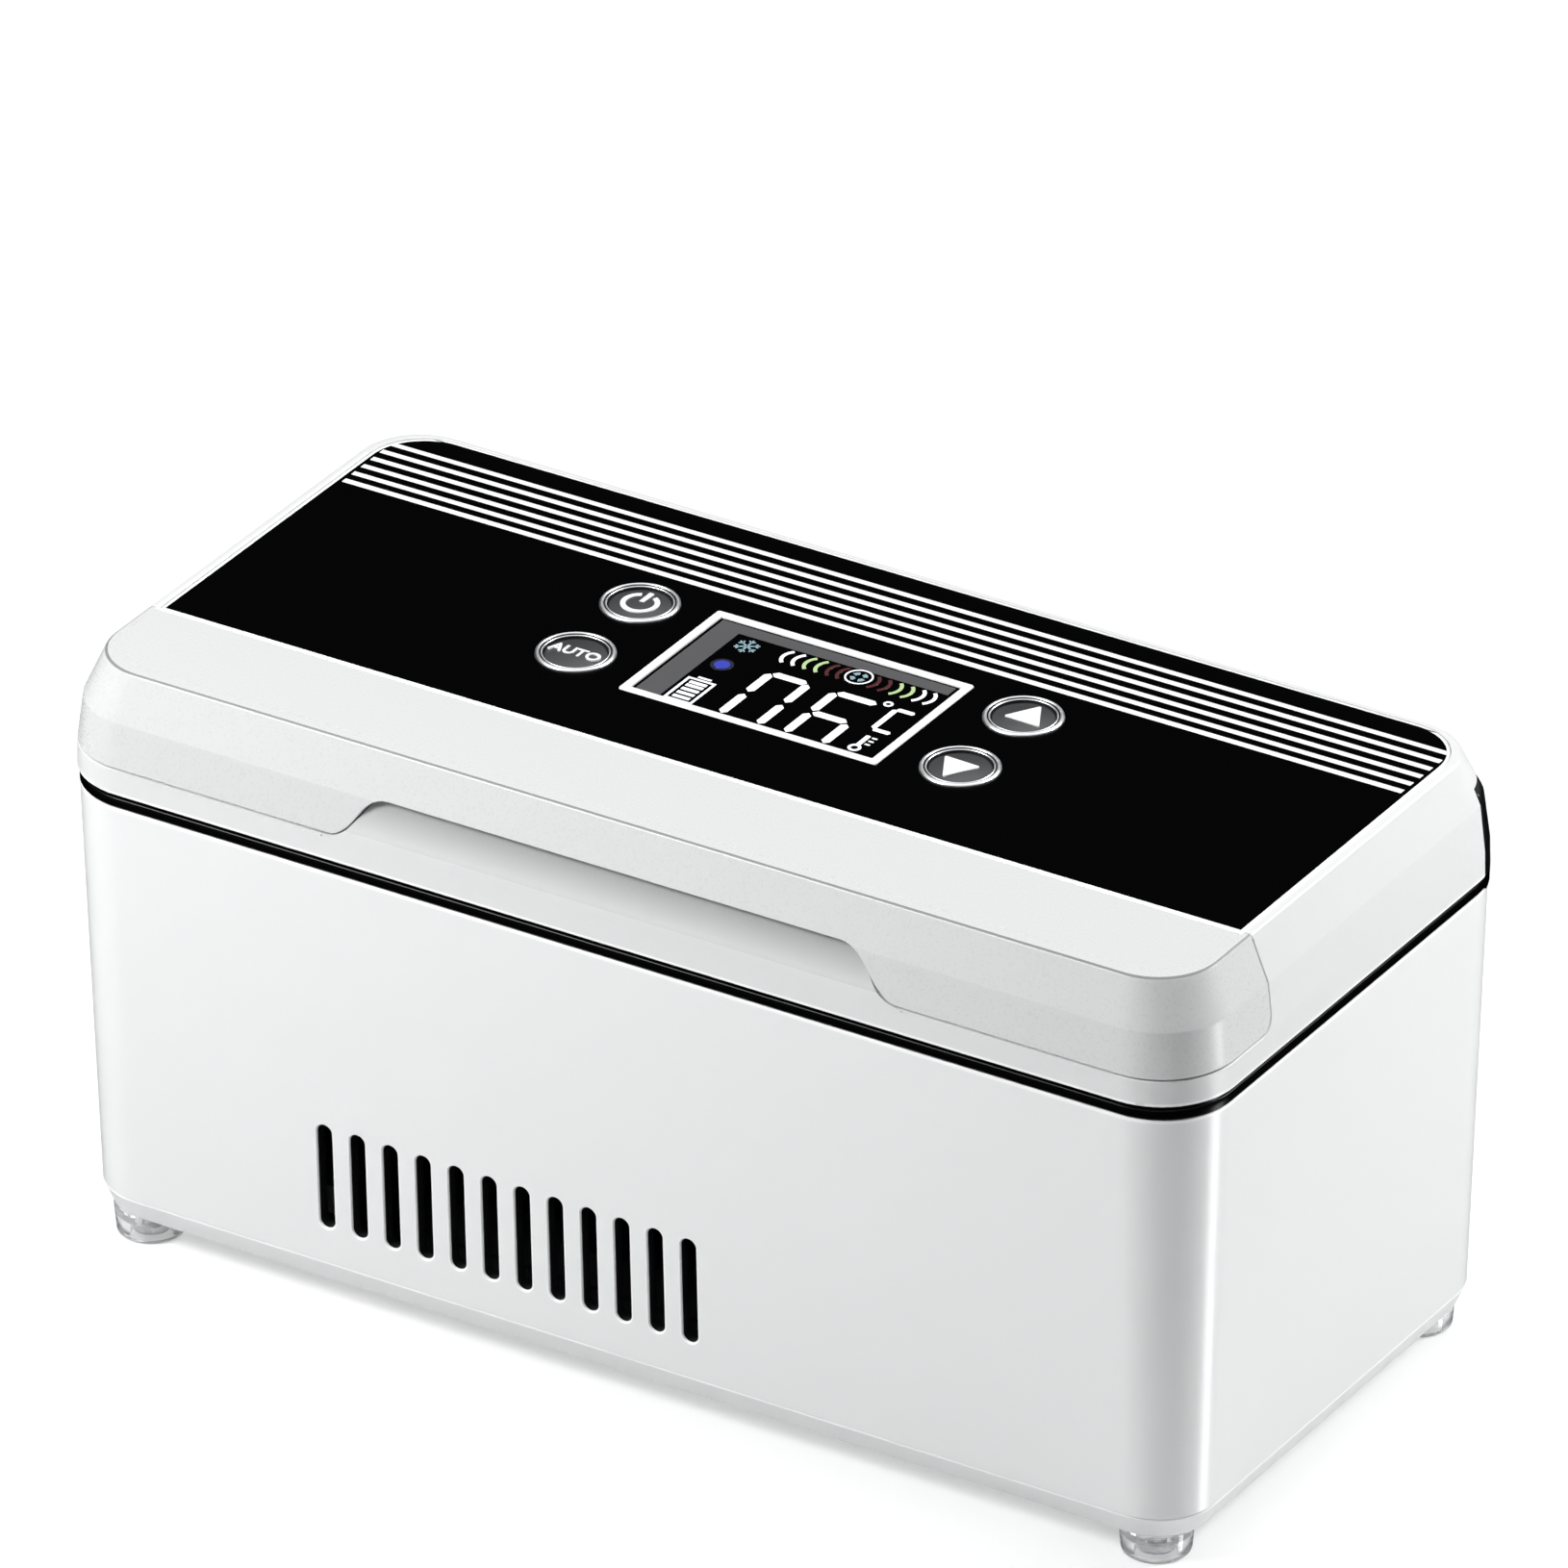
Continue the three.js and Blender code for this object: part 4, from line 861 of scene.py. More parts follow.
def wave(grow, low):
    """The outline of the finger recess in X and Z, wider by grow."""
    foot, head = 53.3 + grow, 41.4 + grow
    start, top = GROOVE + grow, GROOVE + grow + 8.3
    return [(-foot, low), (-foot, start, None, (-foot + 6.5, start)), (-head, top, (-head - 5.5, top), None),
            (head, top, None, (head + 5.5, top)), (foot, start, (foot - 6.5, start), None), (foot, low)]


def cover_zone(name, grow):
    """The front region of the lid that the cover takes up, with its rounded lower rear corner."""
    rear, low, bend = PANEL_FRONT - PANEL_GAP + grow, COVER_LOW - grow, 3.0
    handle = bend * ROUND_HANDLE
    side = [(-60, low), (rear - bend, low, None, (rear - bend + handle, low)),
            (rear, low + bend, (rear, low + bend - handle), None), (rear, SOLID_UP), (-60, SOLID_UP)]
    return prism(name, side, "x", -SOLID_UP, SOLID_UP)


def near_outline(point):
    """True for a point that lies within a third of a millimetre of the lid's outside."""
    x, y = abs(point.x) - (HALF_X - CORNER), -point.y - (HALF_Y - CORNER)
    inward = min(CORNER - x, CORNER - y)
    if x > 0 and y > 0:
        inward = CORNER - math.hypot(x, y)
    return inward < lid_inset(point.z) + 0.35


def on_panel_edge(point):
    """The lid's top edge round the panel."""
    return point.z > LID_TOP - 0.1 and point.y > PANEL_FRONT - 0.2


def beside_panel(point, normal):
    """The painted highlight on the lid's top along the panel, up to BRIGHT_RIM past its sides."""
    return point.z > LID_TOP - 0.2 and normal.z > 0.5 and abs(point.x) < PANEL_HALF + BRIGHT_RIM


def make_front_cover():
    cover = lid_outside("white_front_cover", COVER_LOW)
    shape(cover, lid_inside("hollow", LID_WALL, 80, 99.1))
    shape(cover, cover_zone("zone", 0.0), how="INTERSECT")
    shape(cover, prism("wave", wave(0.0, 80), "y", -53, -44.1))

    def on_parting(point):
        parting = point.y > -27 or point.z > GROOVE + 0.5 or abs(point.x) < BACK_WALL_HALF
        return near_outline(point) and point.z < 100.7 and parting

    def on_crease(point, normal):
        """The upper half of the rounding between the lid's slopes and its top."""
        return point.z > 100.9 and 0.74 < normal.z < 0.985

    soften(cover, 0.22, on_parting)
    soften(cover, 0.12, on_panel_edge)
    bright_front = PANEL_FRONT - 0.75
    slice_at(cover, [bright_front], (0, 1, 0))
    slice_at(cover, [-PANEL_HALF - BRIGHT_RIM, PANEL_HALF + BRIGHT_RIM], (1, 0, 0))
    give(polish(cover), COVER_SHADED_WHITE, CREASE_SHADE, HIGHLIGHT_WHITE)
    # Painted shade: the upper half of the crease's rounding is painted grey.
    paint(cover, 1, on_crease)
    # Painted highlight: the cover's top strip along the panel is painted brighter white.
    paint(cover, 2, lambda point, normal: beside_panel(point, normal) and point.y > bright_front)
    return fit(cover, "lid", "case_white", "lid_front_cover")


def panel_outline(inset, front=0.0):
    """The black panel's outline in X and Y, with square front corners and round rear ones. It is smaller by
    inset all round, and by front more at its front."""
    half, rear, radius = PANEL_HALF - inset, PANEL_REAR - inset, PANEL_CORNER - inset
    front += PANEL_FRONT + inset
    handle = radius * (1 - ROUND_HANDLE)
    return [(-half, front), (half, front), (half, rear - radius, None, (half, rear - handle)),
            (half - radius, rear, (half - handle, rear), None),
            (-half + radius, rear, None, (-half + handle, rear)),
            (-half, rear - radius, (-half, rear - handle), None)]


def behind_lid(name, inset, z0, z1):
    """The band behind the lid that the riser takes up, inset further into the lid."""
    wide = RISER_WALL + inset
    rings = [(130, 70, 5, z0), (130, 70, 5, z1)] + case_rings([(wide, z1), (wide, z0)])
    band = stack(name, rings, closed=True)
    return split(band, (0, RISER_START - inset, 0), (0, -1, 0))


def make_lid_shell():
    shell = lid_outside("white_lid_shell", LID_BOTTOM, 0.2)
    riser_gap, parting_gap, roof, back = 0.6, 0.16, 97.3, -45.5
    shape(shell, behind_lid("riser_room", riser_gap, SOLID_DOWN, OVERHANG))
    hollow = lid_inside("hollow", LID_WALL, 79.5, roof)
    shape(hollow, behind_lid("rear_wall", riser_gap + LID_WALL, SOLID_DOWN, SOLID_UP))
    shape(shell, hollow)
    shape(shell, prism("panel_pocket", panel_outline(-PANEL_GAP), "z", PANEL_BOTTOM, 105))
    shape(shell, prism("panel_opening", panel_outline(4), "z", 95.3, 105))
    shape(shell, cover_zone("front_zone", parting_gap))
    back_wall = slab("back_wall", -BACK_WALL_HALF, BACK_WALL_HALF, -60, back, LID_BOTTOM + 0.1, 95.2)
    shape(back_wall, lid_inside("room", LID_WALL + 0.3, 80, roof), how="INTERSECT")
    tongue = prism("tongue", wave(-parting_gap, LID_BOTTOM + 0.4), "y", -50.41, back)
    shape(shell, back_wall, tongue, how="UNION")
    scoop = [(-53, 87.3), (-50.42, 87.3, None, (-50.2, 88.3)), (-48.1, 93.0, (-48.7, 91.8), None),
             (-48.1, 103), (-53, 103)]
    shape(shell, prism("scoop", scoop, "x", -53.3, 53.3))
    for x in (-HINGE_X, HINGE_X):
        arm = slab("arm", x - KNUCKLE_HALF, x + KNUCKLE_HALF, 45.6, HINGE_Y, HINGE_Z - 1.2, HINGE_Z + 1.2)
        shape(shell, knuckle(x, KNUCKLE_HALF), arm, how="UNION")
        shape(shell, hinge_bore(x, 10))

    def on_parting(point):
        low = abs(point.z - GROOVE) < 0.5 and point.y < -20 and (abs(point.x) > 53 or point.y > -45)
        up = abs(point.y - PANEL_FRONT) < 3.6 and GROOVE - 0.2 < point.z < 100.5
        return (low or up) and near_outline(point)

    def in_recess(point, normal):
        return -50.39 < point.y < -45 and 87.3 < point.z < 94.5 and normal.y < -0.4

    def above_seam(point, normal):
        edge = HALF_X - abs(point.x) < 9 or HALF_Y - abs(point.y) < 0.5
        return faces_out(point, normal) and edge and 0.19 < point.z - LID_BOTTOM < 0.61

    soften(shell, 0.22, on_parting)
    soften(shell, 0.12, on_panel_edge)
    bright_rear = 35
    slice_at(shell, [-PANEL_HALF - BRIGHT_RIM, PANEL_HALF + BRIGHT_RIM], (1, 0, 0))
    slice_at(shell, [bright_rear], (0, 1, 0))
    give(polish(shell), LID_WHITE, HIGHLIGHT_WHITE, RECESS_PAINTED_SHADE)
    # Painted highlight: the top's strip along the panel's sides and rear is painted brighter white.
    paint(shell, 1, lambda point, normal: beside_panel(point, normal) and point.y < bright_rear)
    # Painted shade: the recess's faces take the darker white that darkens towards the top edge.
    paint(shell, 2, in_recess)
    # Painted highlight: a thin strip just above the seam is painted brighter white.
    paint(shell, 1, above_seam)
    return fit(shell, "lid", "lid_white", "lid_shell")


# Black top panel with its six white stripes, and a white rim round it painted as a highlight

def make_top_panel():
    # Painted highlight: a thin white rim round the panel, in the stripes' white print.
    highlight_border = prism("highlight_border", panel_outline(0), "z", PANEL_BOTTOM, PANEL_TOP, 20)
    shape(highlight_border, prism("inside", panel_outline(HIGHLIGHT_BORDER, 0.1), "z", 95, 105, 20))
    soften(highlight_border, 0.12, lambda point: point.z > PANEL_TOP - 0.01, steps=2)
    panel = prism("black_top_panel", panel_outline(HIGHLIGHT_BORDER + 0.02, 0.1), "z", PANEL_BOTTOM, PANEL_TOP, 20)
    half_x, half_y = DISPLAY_HALF_X + 0.1, DISPLAY_HALF_Y + 0.1
    shape(panel, slab("opening", -half_x, half_x, DISPLAY_Y - half_y, DISPLAY_Y + half_y, 95, 105))
    for x, y in BUTTONS.values():
        shape(panel, rod("ring_hole", 6.6, 95, 105, "z", x, y))
    last, pitch, half_wide, half_long = 39.7, 2.86, 0.58, 98.0
    stripes = [(last - pitch * number - half_wide, last - pitch * number + half_wide) for number in range(6)]
    slice_at(panel, [y for stripe in stripes for y in stripe], (0, 1, 0))
    edit(panel)
    for side in (-1, 1):
        bpy.ops.mesh.select_all(action="SELECT")
        bpy.ops.mesh.bisect(plane_co=(side * half_long * MM, 32 * MM, 0), plane_no=(1, side * -0.02, 0))
    let_go()
    give(polish(panel), PANEL_BLACK, STRIPE_WHITE)

    def on_stripe(point, normal):
        inside = any(low < point.y < high for low, high in stripes)
        return inside and normal.z > 0.9 and abs(point.x) < half_long and point.z > PANEL_TOP - 0.1

    paint(panel, 1, on_stripe)
    join(panel, give(polish(highlight_border), STRIPE_WHITE))
    return fit(panel, "lid", "panel_black", "top_panel")


# Display: white frame, dark glass and what is lit on it

def sign(name, corners, finish, top=LCD_TOP, high=INK):
    """A thin flat sign on the display or a button, from its outline in X and Y."""
    low = top - (INK if top == LCD_TOP else 0.3)
    return give(prism(name, corners, "z", low, top + high, 8), finish)


def on_lcd(u, v):
    """A place counted from the display's outer left and front edges, as a place on the panel."""
    return Vector((LCD_LEFT + u, LCD_FRONT + v))


def round_points(centre, radius, angles):
    return [(centre[0] + radius * math.cos(a), centre[1] + radius * math.sin(a)) for a in angles]


def lcd_bar(name, start, end, wide, finish, cut=0.45):
    """A lit segment: a bar with pointed ends."""
    a, b = on_lcd(*start), on_lcd(*end)
    along = (b - a).normalized()
    side = Vector((-along.y, along.x)) * wide / 2
    tip = along * wide * cut
    return sign(name, [a, a + tip + side, b - tip + side, b, b - tip - side, a + tip - side], finish)


def arc_band(name, centre, radius, wide, start, end, finish, top=LCD_TOP, steps=20):
    """A flat curved band about a centre, from one angle in degrees to another."""
    angles = [math.radians(start + (end - start) * step / steps) for step in range(steps + 1)]
    outer, inner = radius + wide / 2, radius - wide / 2
    if end - start < 360:
        outline = round_points(centre, outer, angles) + round_points(centre, inner, angles[::-1])
        return sign(name, outline, finish, top)
    ring = prism(name, round_points(centre, outer, angles[:-1]), "z", top - INK, top + INK)
    hole = prism("hole", round_points(centre, inner, angles[:-1]), "z", top - 1, top + 1)
    return give(shape(ring, hole), finish)


def lit_digits():
    """A nought and a six of seven segments, and the sign for degrees Celsius."""
    bars = []
    for left, segments in ((18.0, "ABCEF"), (29.9, "AFGEC")):
        right, low, middle, high = left + 6.9, 2.3, 9.6, 17.0
        reach = 0.6 if left > 20 else -0.3
        places = {
            "A": ((left + 0.3, high), (right + reach, high)),
            "B": ((right, middle + 0.5), (right, high - 0.2)),
            "C": ((right, low - 0.2), (right, middle - 0.5)),
            "E": ((left, low - 0.2), (left, middle - 0.5)),
            "F": ((left, middle + 0.5), (left, high - 0.2)),
            "G": ((left + 0.3, middle), (right - 0.3, middle)),
        }
        bars += [lcd_bar("segment", *places[letter], 1.5, LIT_WHITE) for letter in segments]
    spots = [((41.0, 17.3), (44.2, 17.3)), ((40.9, 10.2), (40.9, 17.1)), ((41.0, 10.0), (44.2, 10.0))]
    bars += [lcd_bar("segment", start, end, 0.95, LIT_WHITE, 0.3) for start, end in spots]
    bars.append(arc_band("degree", on_lcd(38.9, 18.1), 0.62, 0.4, 0, 360, LIT_WHITE, steps=24))
    return join(*bars)


def lit_arcs():
    """Level arcs on both sides of the round fan sign, from white through lime to dark red."""
    bands, radius, wide, sweep = [], 2.6, 0.62, 48
    shades = [LIT_WHITE, LIT_WHITE, LIT_LIME, LIT_LIME, LIT_RED, LIT_RED]
    left, right = (16.6, 18.7, 20.8, 22.9, 25.0, 26.9), (33.9, 35.9, 38.0, 40.1, 42.2, 44.2)
    for middle, aside, places, finishes in ((180, radius, left, shades), (0, -radius, right, shades[::-1])):
        start, end = middle - sweep, middle + sweep
        for u, finish in zip(places, finishes):
            centre = on_lcd(u + aside, 22.9)
            bands.append(arc_band("arc", centre, radius, wide, start, end, finish, steps=12))
    return join(*bands)


def lit_icons():
    """Snowflake, blue lamp, battery, thermometer and the fan sign between the arcs."""
    parts = []
    centre, arm_long, arm_half = on_lcd(10.1, 22.5), 2.1, 0.16
    twig_from, twig_long, twig_half = 1.2, 0.8, 0.13
    for number in range(6):
        angle = math.radians(30 + 60 * number)
        way, side = Vector((math.cos(angle), math.sin(angle))), Vector((-math.sin(angle), math.cos(angle)))
        tip, across = centre + way * arm_long, side * arm_half
        parts.append(sign("arm", [centre + across, tip + across, tip - across, centre - across], LIT_ICE))
        for lean in (-1, 1):
            root = centre + way * twig_from
            twig = (way + side * lean).normalized() * twig_long
            across = Vector((-twig.y, twig.x)).normalized() * twig_half
            outline = [root + across, root + twig + across, root + twig - across, root - across]
            parts.append(sign("twig", outline, LIT_ICE))
    full_turn = [math.radians(15 * step) for step in range(24)]
    for radius, finish, high in ((1.9, BLUE_GLOW, 0.02), (1.3, LIT_BLUE, INK)):
        parts.append(sign("lamp", round_points(on_lcd(9.9, 15.4), radius, full_turn), finish, high=high))
    for start, end in (((7.7, 1.9), (7.7, 9.3)), ((12.4, 1.9), (12.4, 9.3)), ((7.5, 9.2), (12.6, 9.2)),
                       ((8.9, 10.0), (11.3, 10.0)), ((7.5, 2.0), (12.6, 2.0))):
        parts.append(lcd_bar("battery", start, end, 0.45, LIT_WHITE, 0.0))
    for v in (3.1, 4.4, 5.7, 7.0, 8.1):
        parts.append(lcd_bar("battery", (8.5, v), (11.6, v), 0.75, LIT_WHITE, 0.0))
    parts.append(arc_band("bulb", on_lcd(41.7, 3.4), 0.85, 0.5, 0, 360, LIT_WHITE, steps=24))
    parts.append(lcd_bar("stem", (41.7, 4.1), (41.7, 7.8), 0.8, LIT_WHITE, 0.2))
    for v in (5.2, 6.3, 7.4):
        parts.append(lcd_bar("tick", (42.5, v), (43.4, v), 0.35, LIT_WHITE, 0.0))
    hub = on_lcd(30.35, 23.2)
    parts.append(arc_band("fan_sign", hub, 2.2, 0.28, 0, 360, LIT_WHITE, steps=36))
    for number in range(4):
        start = 20 + 90 * number
        parts.append(arc_band("fan_sign", hub, 1.05, 0.75, start, start + 52, LIT_ICE, steps=6))
    return join(*parts)


def make_display():
    frame_top, frame_wide = 101.25, 1.5
    profile = [(0.15, PANEL_BOTTOM, 0), (0, PANEL_BOTTOM + 0.2, 0), (0, frame_top, 0.2),
               (frame_wide, frame_top, 0.2), (frame_wide, PANEL_BOTTOM, 0)]
    rings = box_rings(DISPLAY_HALF_X, DISPLAY_HALF_Y, 0.6, eased(profile, 3), DISPLAY_Y)
    bezel = stack("white_display_frame", rings, closed=True, steps=4)
    fit(give(polish(bezel), FRAME_WHITE), "lid", "bezel_white", "display_bezel")
    profile = eased([(0.1, 99.2, 0), (0, 99.3, 0), (0, LCD_TOP, 0.1), (1, LCD_TOP, 0)], 2)
    glass = stack("dark_display_glass", box_rings(22.1, 13.35, 0.4, profile, DISPLAY_Y), steps=3)
    left, inner, right, low, under, high = 2.3, 6.8, 45.3, 1.9, 25.4, 28.0
    corners = ((left, low), (inner, low), (inner, under), (right, under), (right, high), (left, high))
    mask = sign("grey_mask", [on_lcd(u, v) for u, v in corners], LCD_GREY, high=0.02)
    glass = join(give(polish(glass), LCD_DARK), mask)
    fit(glass, "lid", "display_glass", "display_window")
    lit_pieces = (("lit_digits", lit_digits()), ("lit_level_arcs", lit_arcs()), ("lit_icons", lit_icons()))
    for name, piece in lit_pieces:
        piece.name = piece.data.name = name
        fit(piece, "lid", "display_glass")


# Buttons: chrome ring in the panel, cap with a dark disc and white sign

def power_sign(x, y, top):
    ring = arc_band("sign", (x, y), 2.75, 0.85, 116, 424, SIGN_WHITE, top, steps=40)
    half, low, high = 0.42, 0.4, 3.6
    corners = [(x - half, y + low), (x + half, y + low), (x + half, y + high), (x - half, y + high)]
    return [ring, sign("sign", corners, SIGN_WHITE, top)]


def auto_sign(x, y, top):
    let_go()
    bpy.ops.object.text_add(location=(0, 0, 0))
    word = bpy.context.object
    word.data.body = "AUTO"
    word.data.align_x, word.data.align_y = "CENTER", "CENTER"
    word.data.size, word.data.extrude, word.data.offset = 3.2 * MM, 0.17 * MM, 0.08 * MM
    bpy.ops.object.convert(target="MESH")
    word.data.transform(Matrix.Translation(Vector((x, y, top - 0.12)) * MM))
    return [give(settle(word), SIGN_WHITE)]


def arrow_sign(x, y, top, degrees):
    """A triangle whose tip points that way, with slightly rounded corners."""
    tip, back, half, cut = 3.2, -2.6, 3.35, 0.35
    corners = [Vector((tip, 0)), Vector((back, half)), Vector((back, -half))]
    swing = Matrix.Rotation(math.radians(degrees), 2)
    outline = []
    for number, here in enumerate(corners):
        for other in (corners[number - 1], corners[(number + 1) % 3]):
            outline.append(Vector((x, y)) + swing @ (here + (other - here).normalized() * cut))
    return [sign("sign", outline, SIGN_WHITE, top)]


def make_buttons():
    profile = [(5.0, 98.3), (7.6, 98.3), (7.6, 99.25), (6.5, 99.25), (6.5, 101.1), (6.46, 101.3),
               (6.36, 101.46), (6.2, 101.57), (6.05, 101.6), (5.9, 101.56), (5.8, 101.44), (5.75, 101.2),
               (5.56, 101.2), (5.52, 101.36), (5.44, 101.43), (5.34, 101.43), (5.26, 101.35), (5.22, 101.1),
               (5.22, 99.0), (5.0, 98.8), (5.0, 98.3)]
    ring = turned("chrome_ring", profile, closed=True, sides=80)
    give(polish(ring), CHROME, SHADE_BLACK)
    # Painted shade: the groove in the ring's top and the ring's bore are painted black.
    paint(ring, 1, lambda point, normal: 5.5 < math.hypot(point.x, point.y) < 5.78 and point.z > 101.0)
    paint(ring, 1, lambda point, normal: math.hypot(point.x, point.y) < 5.25 and point.z < 101.3)
    crown, sag, sign_top = 101.29, 0.33, 101.31
    profile = [(5.5, 97.0), (5.6, 97.1), (5.6, 98.0), (4.74, 98.0), (4.74, 100.2), (5.06, 100.5),
               (5.06, 100.93), (4.98, 100.97)]
    profile += [(reach, crown - sag * (reach / 5) ** 2) for reach in (4.8, 4, 3.2, 2.4, 1.6, 0.8)]
    cap = turned("cap", profile, sides=80)
    give(polish(cap), DISC_DARK)
    signs = {"power": power_sign, "auto": auto_sign, "up": lambda *place: arrow_sign(*place, 208),
             "down": lambda *place: arrow_sign(*place, 28)}
    for name, (x, y) in BUTTONS.items():
        fit(copy_of(ring, f"chrome_ring_{name}", (x, y, 0)), "lid", "chrome", f"button_ring_{name}")
        button = join(copy_of(cap, f"round_button_{name}", (x, y, 0)), *signs[name](x, y, sign_top))
        fit(button, f"button_{name}", "button_dark", f"button_{name}")
    for start in (ring, cap):
        bpy.data.objects.remove(start)


# Cold chamber and what shows when the lid is open

def chamber_rings(profile, grow=0.0):
    """Rings round the cold chamber, wider by grow all round."""
    return [(CHAMBER_X + grow - a, CHAMBER_Y + grow - a, CHAMBER_CORNER + grow - a, z) for a, z in profile]


def make_inner_frame():
    outside, low, top = 3.5, 78.0, 80.2
    rings = case_rings([(outside, low), (outside, top - 0.3), (outside + 0.3, top)])
    rings += chamber_rings(eased([(-6.0, top, 0), (0.0, top, 1.2), (0.0, low, 0)], 6))
    deck = stack("white_inner_deck", rings, closed=True)
    shape(deck, rod("pocket", LATCH_ROOM, low + 0.7, 85, "z", 0, LATCH_Y, 48))

    def on_pocket_rim(point):
        return point.z > top - 0.1 and math.hypot(point.x, point.y - LATCH_Y) < LATCH_ROOM + 0.2

    soften(deck, 0.25, on_pocket_rim)
    fit(give(polish(deck), INNER_WHITE), "case", "case_white", "inner_frame")


def make_tub():
    top, wall = 77.7, 1.0
    outside = [(0.8, 43.3), (0.24, 43.54), (0, 44.1), (0, top)]
    inside = [(0, top), (0, 47.3), (0.24, 46.1), (0.85, 45.2), (1.8, 44.68), (2.8, 44.5)]
    tub = stack("aluminium_tub", chamber_rings(outside, wall) + chamber_rings(inside))
    fit(give(polish(tub), TUB_METAL), "case", "aluminium", "chamber_liner")


def make_pen_tray():
    top, pen_pitch, gap = 56.3, 15.5, 0.6
    profile = [(1.0, 44.8), (0.3, 45.1), (0, 45.8), (0, 55.7), (0.15, 56.1), (0.6, top)]
    tray = stack("grey_pen_tray", chamber_rings(profile, -gap))
    for y in (-pen_pitch, 0, pen_pitch):
        shape(tray, rod("channel", 6.8, -100, 100, "x", y, top, 80))
    soften(tray, 0.45, lambda point: point.z > top - 0.1 and abs(point.x) < CHAMBER_X - 0.5)
    soften(tray, 0.3, lambda point: abs(point.x) > CHAMBER_X - 1 and 49 < point.z < 56)
    fit(give(polish(tray), TRAY_GREY), "case", "tray_grey", "pen_tray")


def make_small_chamber_parts():
    probe = turned("probe_cap", [(2.6, 0.0), (2.6, 1.7), (2.4, 2.15), (1.9, 2.4), (0.5, 2.4)], sides=48)
    shift(turn(probe, 90, "Y"), -CHAMBER_X, 0, 62.72)
    fit(give(polish(probe), DARK_PLASTIC), "case", "dark_plastic", "temperature_probe")
    profile = [(2.9, 0), (3.0, 0.1), (3.0, 1.2), (2.85, 1.42), (2.6, 1.5), (0.6, 1.5)]
    plate = shift(turned("latch_disc", profile, sides=48), 0, LATCH_Y, 78.7)
    fit(give(polish(plate), STEEL), "case", "steel", "latch_plate")
    magnet = turn(turned("magnet_disc", profile, sides=48), 180, "X")
    shift(magnet, 0, LATCH_Y, 83.4)
    fit(give(polish(magnet), STEEL), "lid", "steel", "latch_magnet")


def make_lid_lining():
    low, high = 81.9, 83.9
    plate = stack("white_lid_lining", case_rings([(2.9, low), (2.5, low + 0.4), (2.5, high)]))
    split(plate, (0, 37.1, 0), (0, 1, 0))
    rear = stack("rear_plate", case_rings([(6.7, low), (6.3, low + 0.4), (6.3, high)]))
    shape(plate, rear, how="UNION")
    notch = BACK_WALL_HALF + 0.3
    shape(plate, slab("notch", -notch, notch, -60, -45.2, SOLID_DOWN, 90))
    plug = stack("plug", box_rings(86.5, 22.5, 5.0, eased([(1.6, 77.6, 0), (0, 77.6, 1.5), (0, 83.5, 0)], 5)))
    shape(plate, plug, how="UNION")
    hollow = stack("hollow", box_rings(85.0, 21.0, 3.5, [(1.0, 79.1), (0.3, 79.4), (0, 80.1), (0, 90)]))
    shape(plate, hollow)
    shape(plate, rod("magnet_pocket", LATCH_ROOM, SOLID_DOWN, 83.4, "z", 0, LATCH_Y, 48))
    fit(give(polish(plate), INNER_WHITE), "lid", "lid_white", "lid_liner")


def make_seal():
    """Rubber ring with a rounded lip, round the plug."""
    profile = [(0, 81.9), (0, 81.2), (0.25, 80.75), (0.75, 80.52), (1.2, 80.5), (1.65, 80.52), (2.15, 80.75),
               (2.4, 81.2), (2.4, 81.9)]
    seal = stack("black_lid_seal", chamber_rings(profile, 5.4), closed=True)
    fit(give(polish(seal), SEAL_BLACK), "lid", "seal_rubber", "lid_seal")


def make_inlet():
    """Barrel inlet in the rear wall, with its centre pin."""
    profile = [(3.2, 47.2), (3.35, 48.2), (3.6, 48.5), (4.1, 48.5), (4.35, 48.3), (4.4, 48.0), (4.4, 45.9),
               (4.4, 41.4), (3.2, 41.4), (3.2, 47.2)]
    socket = turned("inlet_socket", profile, closed=True, sides=48)
    shape(socket, rod("floor", 3.9, 37.0, 41.2, "z", 0, 0, 48), how="UNION")
    pin = turned("pin", [(1.0, 40.9), (1.0, 46.9), (0.85, 47.3), (0.3, 47.5)], sides=24)
    for piece in (socket, pin):
        shift(turn(piece, -90, "X"), INLET_X, -0.44, INLET_Z)
    body = slab("body", INLET_X - 5, INLET_X + 5, 36.36, 45.36, INLET_Z - 5, INLET_Z + 5)
    soften(body, 0.5, lambda point: True)
    shape(body, rod("room", 3.2, 40.6, 60, "y", INLET_X, INLET_Z, 48))
    for piece, finish in ((socket, DARK_PLASTIC), (pin, STEEL), (body, DARK_PLASTIC)):
        give(polish(piece), finish)
    fit(join(socket, pin, body), "case", "dark_plastic", "dc_socket")


for make in (make_lower_case, make_base, make_feet, make_base_screws, make_seam_ring, make_hinge_pins,
             make_front_cover, make_lid_shell, make_top_panel, make_display, make_buttons, make_inner_frame,
             make_tub, make_pen_tray, make_small_chamber_parts, make_lid_lining, make_seal, make_inlet):
    make()

# Finishes of the CAD pieces that stay
KEPT = (
    (FOAM, "insulation_block", "lid_insulation"),
    (PLATE_METAL, "cold_plate", "filter_capacitor"),
    (CERAMIC, "peltier_module", "board_connector"),
    (SINK_DARK, "heat_sink"),
    (BOARD, "main_board", "control_board"),
    (CELL, *(f"battery_cell_{number}" for number in (1, 2, 3))),
    (DARK_PLASTIC, "fan_frame", "fan_rotor", "battery_cradle", "power_inductor", "display_module"),
    (DARK_PLASTIC, *(f"tact_switch_{name}" for name in BUTTONS)),
)
for material, *nodes in KEPT:
    for node in nodes:
        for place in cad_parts[node].material_slots:
            place.material = material


# Camera, floor and light

